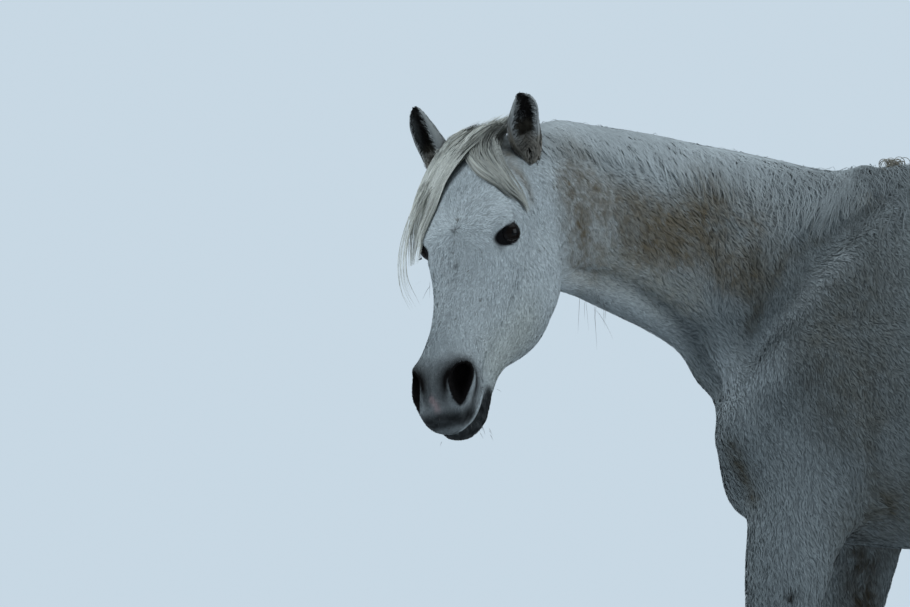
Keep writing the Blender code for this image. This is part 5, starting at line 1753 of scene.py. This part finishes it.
def ear_tufts(surface, own, side):
    """Roots, normals, lie, length, width, depth, colours and bake places of one ear's tufts."""
    _, up, front, _ = (np.array(v) for v in ear_frame(side))
    density = EAR_DENSITY * 1
    roots, out = scatter(surface, own, np.full(len(own), density))
    count = len(roots)
    colours, inside = ear_colour(roots, out, side)
    share, angle, edge = ear_place(roots, side)
    flow = np.tile(up, (count, 1)) + np.where(inside, 0.20, -0.15 * edge)[:, None] * front
    flow -= out * (flow * out).sum(axis=1)[:, None]
    flow = turned(unit(flow), out, rng.normal(0, 0.16, count))
    fringe = ramp(edge, 0.70, 0.95) * ramp(share, 0.97, 0.80) * ramp(share, 0.0, 0.15)
    inward = -np.sign(angle)[:, None] * np.cross(up, front)
    flow = unit(flow + 0.9 * fringe[:, None] * inward)
    length = np.where(inside, 0.0110 - 0.004 * edge, 0.0065) * rng.uniform(0.6, 1.2, count)
    foot = ramp(share, 0.34, 0.12) * np.maximum(inside, edge)
    length *= (1 + 1.6 * foot) * (1 + 0.9 * fringe)
    length *= ramp(share, 1.05, 0.85) * 0.5 + 0.5
    depth = np.where(inside, 0.0040 - 0.003 * edge, 0.0012) + 0.004 * foot
    width = np.where(inside, 0.0012, 0.0015)
    u = np.clip(angle / 360 + 0.5, 0, 1) * 0.46 + 0.02 + 0.5 * inside
    v = np.clip((share + 0.15) / 1.2, 0, 1) * 0.46 + 0.02 + 0.5 * list(SIDE).index(side)
    colours = colours * tone(count, 0.10)[:, None]
    return roots, out, flow, length, width, depth, colours, np.column_stack([u, v])


def add_ear_coat(surface, body_count):
    """Short fur over the ears, and longer soft hair inside them."""
    _, _, tris, _, middles = surface
    parts = []
    for side in SIDE:
        root, up, _, _ = (np.array(v) for v in ear_frame(side))
        close = np.linalg.norm(middles - root - up * 0.06, axis=1) < 0.11
        parts.append(ear_tufts(surface, np.flatnonzero((tris[:, 0] >= body_count) & close), side))
    roots, out, flow, length, width, depth, colours, uv = (np.concatenate(p) for p in zip(*parts))
    return tuft_mesh("coat_ears", roots, out, flow, (length, width, depth), colours, uv)


# Eyes and hooves


CORNEA = 0.011  # radius and share of the eyeball of the cornea's bulge
CORNEA_BULGE = 0.045
IRIS_RADIUS = 0.0150
PUPIL_HALF = (0.0078, 0.0048)
EYEBALL = (0.008, 0.006, 0.006)
IRIS = (0.007, 0.004, 0.003)
PUPIL = (0.003, 0.003, 0.004)


def add_eye(side):
    """Eyeball with a dark iris, a level pupil and a bulging cornea."""
    bm = bmesh.new()
    bmesh.ops.create_uvsphere(bm, u_segments=72, v_segments=48, radius=EYE_RADIUS)
    origin, axes = local_frame(EYE_CENTRE, EYE_OUT, EYE_LONG, side)
    turn = Matrix(axes.T.tolist()).to_4x4()
    local = np.array([v.co for v in bm.verts])
    spread = np.linalg.norm(local[:, :2], axis=1)
    front = local[:, 2] > 0
    bulge = 1 + CORNEA_BULGE * np.exp(-((spread / CORNEA) ** 2)) * front
    for vert, scale in zip(bm.verts, bulge):
        vert.co *= scale
    bmesh.ops.transform(bm, matrix=Matrix.Translation(origin) @ turn, verts=bm.verts)
    obj = from_bmesh(f"eyeball_{side}", bm)
    ray = np.arctan2(local[:, 1], local[:, 0])
    streak = 0.8 + 0.4 * np.sin(ray * 31 + 3 * np.sin(ray * 7)) ** 2
    colour = np.tile(EYEBALL, (len(local), 1))
    colour = np.where(((spread < IRIS_RADIUS) & front)[:, None], np.outer(streak, IRIS), colour)
    pupil = (local[:, 0] / PUPIL_HALF[0]) ** 2 + (local[:, 1] / PUPIL_HALF[1]) ** 2 < 1
    colour = np.where((pupil & front)[:, None], np.array(PUPIL), colour)
    set_colour(obj.data, "coat_colour", colour)
    return obj


CORONET_HEIGHT = 0.066
CORONET_SLOPE = 0.36
CORONET_RADIUS = (0.0455, 0.0425)
HOOF_ANGLE = math.radians(51)
HOOF_SPREAD = 0.013
HOOF_RINGS = (0.0, 0.02, *np.linspace(0.06, 0.94, 23), 0.98, 1.0)  # shares of the height
HOOF_SIDES = 56
HOOF_RIPPLE = 0.00045
HOOF_ROUNDING = 0.0022  # of the top and bottom edges
HOOF_HEEL = 0.86  # how much of the toe's slope the heel has


def coronet_centre(name):
    """Middle of the coronet."""
    (z0, x0, *_), (z1, x1, *_) = leg_table(name)[-2:]
    x = x0 + (x1 - x0) * (z0 - CORONET_HEIGHT) / (z0 - z1)
    y = leg_side(name) * leg_table(name)[-1][5]
    return Vector((leg_x(name, x, CORONET_HEIGHT), y, CORONET_HEIGHT))


def add_hoof(name):
    """A horn wall with rings of growth, flat on the floor."""
    centre = coronet_centre(name)
    bm = bmesh.new()
    rings = []
    for share in HOOF_RINGS:
        ring = []
        ripple = HOOF_RIPPLE * math.sin(share * 46) + (HOOF_ROUNDING if share in (0.0, 1.0) else 0.0)
        ripple -= 0.0008 * math.exp(-(((share - 0.93) / 0.04) ** 2))
        for angle in np.arange(HOOF_SIDES) / HOOF_SIDES * 2 * math.pi:
            fore = math.cos(angle) * (CORONET_RADIUS[0] - ripple)
            side = math.sin(angle) * (CORONET_RADIUS[1] - ripple)
            top = CORONET_HEIGHT + CORONET_SLOPE * fore
            drop = top * (1 - share)
            x = -fore - drop / math.tan(HOOF_ANGLE) * (1.0 if fore > 0 else HOOF_HEEL)
            spread = 1 + HOOF_SPREAD / CORONET_RADIUS[1] * drop / CORONET_HEIGHT
            ring.append(Vector((centre.x + x, centre.y + side * spread, top * share)))
        rings.append(ring)
    bridge(bm, rings)
    return from_bmesh(f"hoof_wall_{name}", bm)


# Materials


def node(tree, kind, place, **values):
    made = tree.nodes.new(kind)
    made.location = place
    for key, value in values.items():
        setattr(made, key, value)
    return made


def new_material(name, roughness, specular, sheen=0.0):
    """A Principled material, its tree and its shader."""
    material = bpy.data.materials.new(name)
    material.use_nodes = True
    tree = material.node_tree
    shader = tree.nodes["Principled BSDF"]
    shader.inputs["Roughness"].default_value = roughness
    shader.inputs["Specular IOR Level"].default_value = specular
    shader.inputs["Sheen Weight"].default_value = sheen
    shader.inputs["Sheen Roughness"].default_value = 0.5
    return material, tree, shader


def object_place(tree, place):
    return node(tree, "ShaderNodeTexCoord", place).outputs["Object"]


def noise_node(tree, place, scale, detail=3.0, vector=None):
    """Noise on the object's own coordinates, or on a given vector."""
    texture = node(tree, "ShaderNodeTexNoise", place)
    texture.inputs["Scale"].default_value = scale
    texture.inputs["Detail"].default_value = detail
    vector = vector or object_place(tree, (place[0] - 250, place[1]))
    tree.links.new(vector, texture.inputs["Vector"])
    return texture.outputs["Fac"]


def stretched(tree, place, vector, scale):
    """A vector times a scale for each axis."""
    made = node(tree, "ShaderNodeMapping", place)
    made.inputs["Scale"].default_value = scale
    tree.links.new(vector, made.inputs["Vector"])
    return made.outputs["Vector"]


def shade(tree, colour, factor, low, high, place):
    """Colour times a factor brought to the range from low to high."""
    span = node(tree, "ShaderNodeMapRange", (place[0] - 200, place[1]))
    span.inputs["To Min"].default_value = low
    span.inputs["To Max"].default_value = high
    tree.links.new(factor, span.inputs["Value"])
    times = node(tree, "ShaderNodeVectorMath", place, operation="SCALE")
    tree.links.new(colour, times.inputs[0])
    tree.links.new(span.outputs["Result"], times.inputs["Scale"])
    return times.outputs["Vector"]


def bump(tree, shader, height, strength, distance):
    """Fine relief from a height."""
    made = node(tree, "ShaderNodeBump", (-200, -300))
    made.inputs["Strength"].default_value = strength
    made.inputs["Distance"].default_value = distance
    tree.links.new(height, made.inputs["Height"])
    tree.links.new(made.outputs["Normal"], shader.inputs["Normal"])


def coat_material(name, roughness, specular, sheen, streaks):
    """Hair: the colour of the markings with fine streaks along each lock."""
    material, tree, shader = new_material(name, roughness, specular, sheen)
    colour = node(tree, "ShaderNodeAttribute", (-900, 200), attribute_name="coat_colour")
    uv = node(tree, "ShaderNodeUVMap", (-1300, -200), uv_map="strand")
    along = stretched(tree, (-1100, -200), uv.outputs["UV"], (streaks, 0.8, 1.0))
    strands = noise_node(tree, (-900, -200), 1.0, 2.0, along)
    streaky = shade(tree, colour.outputs["Color"], strands, 0.72, 1.26, (-500, 200))
    cloudy = noise_node(tree, (-900, -500), 45.0)
    tree.links.new(shade(tree, streaky, cloudy, 0.90, 1.10, (-250, 200)), shader.inputs["Base Color"])
    bump(tree, shader, strands, strength=0.35, distance=0.0006)
    return material


def skin_material():
    """Under the coat, felted short hair; on the lips, lids and nostrils, pored bare skin."""
    material, tree, shader = new_material("horse_skin", roughness=0.75, specular=0.05, sheen=0.01)
    colour = node(tree, "ShaderNodeAttribute", (-900, 300), attribute_name="coat_colour")
    bare = node(tree, "ShaderNodeAttribute", (-900, 0), attribute_name="bare_skin")
    felt = noise_node(tree, (-900, -250), 420.0, 4.0)
    cloudy = noise_node(tree, (-900, -500), 40.0)
    tone_out = shade(tree, colour.outputs["Color"], felt, 0.72, 1.22, (-450, 300))
    tree.links.new(shade(tree, tone_out, cloudy, 0.9, 1.1, (-220, 300)), shader.inputs["Base Color"])
    rough = node(tree, "ShaderNodeMapRange", (-450, 50))
    rough.inputs["To Min"].default_value = 0.80
    rough.inputs["To Max"].default_value = 0.55
    tree.links.new(bare.outputs["Fac"], rough.inputs["Value"])
    tree.links.new(rough.outputs["Result"], shader.inputs["Roughness"])
    pores = node(tree, "ShaderNodeTexVoronoi", (-900, -750))
    pores.inputs["Scale"].default_value = 700.0
    tree.links.new(object_place(tree, (-1150, -750)), pores.inputs["Vector"])
    relief = node(tree, "ShaderNodeMix", (-450, -400))
    tree.links.new(bare.outputs["Fac"], relief.inputs["Factor"])
    tree.links.new(felt, relief.inputs[2])
    tree.links.new(pores.outputs["Distance"], relief.inputs[3])
    bump(tree, shader, relief.outputs[0], strength=0.5, distance=0.0012)
    return material


def eye_material():
    material, tree, shader = new_material("eye_wet", roughness=0.035, specular=0.14)
    colour = node(tree, "ShaderNodeAttribute", (-600, 100), attribute_name="coat_colour")
    threads = noise_node(tree, (-600, -200), 900.0)
    streaky = shade(tree, colour.outputs["Color"], threads, 0.7, 1.3, (-200, 100))
    tree.links.new(streaky, shader.inputs["Base Color"])
    return material


def horn_material():
    material, tree, shader = new_material("hoof_horn_wall", roughness=0.5, specular=0.4)
    place = object_place(tree, (-1300, 0))
    upright = stretched(tree, (-1100, 0), place, (160.0, 160.0, 9.0))
    fibres = noise_node(tree, (-900, 0), 1.0, 3.0, upright)
    level = stretched(tree, (-1100, -300), place, (4.0, 4.0, 130.0))
    rings = noise_node(tree, (-900, -300), 1.0, 2.0, level)
    horn = node(tree, "ShaderNodeRGB", (-900, 250))
    horn.outputs[0].default_value = (*HORN, 1)
    tone_out = shade(tree, horn.outputs[0], fibres, 0.55, 1.5, (-500, 200))
    tree.links.new(shade(tree, tone_out, rings, 0.7, 1.35, (-250, 200)), shader.inputs["Base Color"])
    bump(tree, shader, rings, strength=0.4, distance=0.0010)
    return material


def floor_material():
    material, tree, shader = new_material("studio_floor", roughness=0.9, specular=0.1)
    grain = noise_node(tree, (-700, 0), 3.0)
    pale = node(tree, "ShaderNodeRGB", (-700, 200))
    pale.outputs[0].default_value = (*FLOOR_COLOUR, 1)
    grainy = shade(tree, pale.outputs[0], grain, 0.98, 1.02, (-300, 100))
    tree.links.new(grainy, shader.inputs["Base Color"])
    return material


# Studio

CAMERA_PLACE = Vector((1.2474, -7.7927, 0.80))
CAMERA_RIGHT = Vector((0.9659, 0.2588, 0.0))
CAMERA_AHEAD = Vector((-0.2584, 0.9643, 0.0586))
LENS = 169.7
BACKDROP = (0.575, 0.685, 0.775, 1)
AMBIENT = 0.32
SENSOR_WIDTH = 36.0
LIGHT_COLOUR = (0.86, 0.95, 1.0)
LIGHT_AIM = Vector((-0.2, 0.1, 1.0))
FLOOR_SIZE = 90
FLOOR_COLOUR = (0.62, 0.65, 0.68)
LIGHTS = [  # place, size, watts
    ("left_softbox", (-5.5, -1.8, 4.2), 5.0, 165),
    ("right_softbox", (6.0, -1.5, 3.2), 5.0, 215),
    ("overhead_softbox", (0.0, 0.0, 6.5), 6.0, 100),
]


def add_camera():
    """The photo's camera, stood in the same place before the horse."""
    camera = linked("camera", bpy.data.cameras.new("camera"))
    right = CAMERA_RIGHT.normalized()
    ahead = CAMERA_AHEAD.normalized()
    turn = Matrix((right, right.cross(ahead).normalized(), -ahead)).transposed().to_4x4()
    camera.matrix_world = Matrix.Translation(CAMERA_PLACE + CENTRE_SHIFT) @ turn
    camera.data.lens = LENS
    camera.data.sensor_width = SENSOR_WIDTH
    camera.data.clip_end = 500
    bpy.context.scene.camera = camera


def add_light(name, place, size, energy):
    light = bpy.data.lights.new(name, "AREA")
    light.size = size
    light.energy = energy
    light.color = LIGHT_COLOUR
    obj = linked(name, light)
    obj.location = place
    obj.rotation_euler = (LIGHT_AIM - Vector(place)).to_track_quat("-Z", "Y").to_euler()


def add_studio():
    """Softboxes, a pale floor and a pale blue backdrop that only the camera sees at full strength."""
    for light in LIGHTS:
        add_light(*light)
    bpy.ops.mesh.primitive_plane_add(size=FLOOR_SIZE)
    floor = bpy.context.object
    floor.name = "studio_floor"
    floor.data.materials.append(floor_material())
    world = bpy.data.worlds.new("studio")
    bpy.context.scene.world = world
    world.use_nodes = True
    tree = world.node_tree
    back = tree.nodes["Background"]
    back.inputs["Color"].default_value = BACKDROP
    ray = node(tree, "ShaderNodeLightPath", (-600, 0))
    strength = node(tree, "ShaderNodeMapRange", (-300, 0))
    strength.inputs["To Min"].default_value = AMBIENT
    strength.inputs["To Max"].default_value = 1.0
    tree.links.new(ray.outputs["Is Camera Ray"], strength.inputs["Value"])
    tree.links.new(strength.outputs["Result"], back.inputs["Strength"])
    bpy.context.scene.view_settings.view_transform = "Standard"


# The whole horse


FLESH = ["head", "neck", "forequarters", "barrel", "hindquarters", "ear_left", "ear_right"]
LEG_PARTS = ("forearm", "fore_cannon", "fore_pastern", "gaskin", "hind_cannon", "hind_pastern")
FLESH += [f"{part}_{side}" for part in LEG_PARTS for side in SIDE]


def place(obj, slot, material, nodes=()):
    """Gives a piece its material and its body, and hides the CAD nodes it stands for."""
    obj.data.materials.clear()
    obj.data.materials.append(material)
    if nodes:
        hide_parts(*nodes)
    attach(obj, "root")


def colour_skin(skin, surface, body_count):
    """The skin's colours under the coat, darkened as painted shade under the tufts, and where it is bare.
    """
    points, normals = surface[:2]
    colours = coat_colour(points)
    for side in SIDE:
        root = np.array(ear_frame(side)[0])
        own = (np.arange(len(points)) >= body_count) & (np.linalg.norm(points - root, axis=1) < 0.2)
        colours[own], _ = ear_colour(points[own], normals[own], side)
    set_colour(skin.data, "coat_colour", colours * SKIN_PAINTED_SHADE)
    set_colour(skin.data, "bare_skin", np.tile(bare_skin(points)[:, None], 3))


def place_hair(tree, hair):
    """Mane, forelock, tail and whiskers."""
    place(add_mane(tree), "hair_pale", hair, ["mane"])
    place(add_crest_hair(tree), "hair_pale", hair)
    for name, *shape in FORELOCKS:
        nodes = [name.removesuffix("_locks")] if name.endswith("locks") else []
        place(add_forelock(tree, name, *shape), "hair_pale", hair, nodes)
    place(add_tail(), "hair_pale", hair, ["tail"])
    core = add_tail_core()
    # painted shade: the tail's core coloured dark
    set_colour(core.data, "coat_colour", np.tile(CORE_SHADE_COLOUR, (len(core.data.vertices), 1)))
    for layer in ("OFBake", "strand"):
        set_uv(core.data, layer, core_uv(core.data))
    place(core, "hair_pale", hair)
    place(add_whiskers(tree), "leg_dusky", hair)
    place(add_curl(), "hair_pale", hair)


def main():
    add_camera()
    skin, body_count = build_skin()
    surface = surface_of(skin.data)
    colour_skin(skin, surface, body_count)
    fur = coat_material("coat_fur", roughness=0.82, specular=0.08, sheen=0.03, streaks=5.0)
    for obj, slot in add_coat(surface, body_count):
        place(obj, slot, fur)
    place(add_ear_coat(surface, body_count), "ear_dark", fur)
    tree = BVHTree.FromPolygons(surface[0].tolist(), surface[2].tolist())
    hair = coat_material("long_hair", roughness=0.55, specular=0.22, sheen=0.05, streaks=4.0)
    place_hair(tree, hair)
    wet = eye_material()
    horn = horn_material()
    for side in SIDE:
        place(add_eye(side), "eye_dark", wet, [f"eye_{side}"])
    for name in STANCE:
        leg, side = name.split("_")
        place(add_hoof(name), "hoof_horn", horn, [f"{leg}_hoof_{side}"])
    skin.data.transform(Matrix.Translation(CENTRE_SHIFT))
    place(skin, "coat_grey", skin_material(), FLESH)
    add_studio()


main()
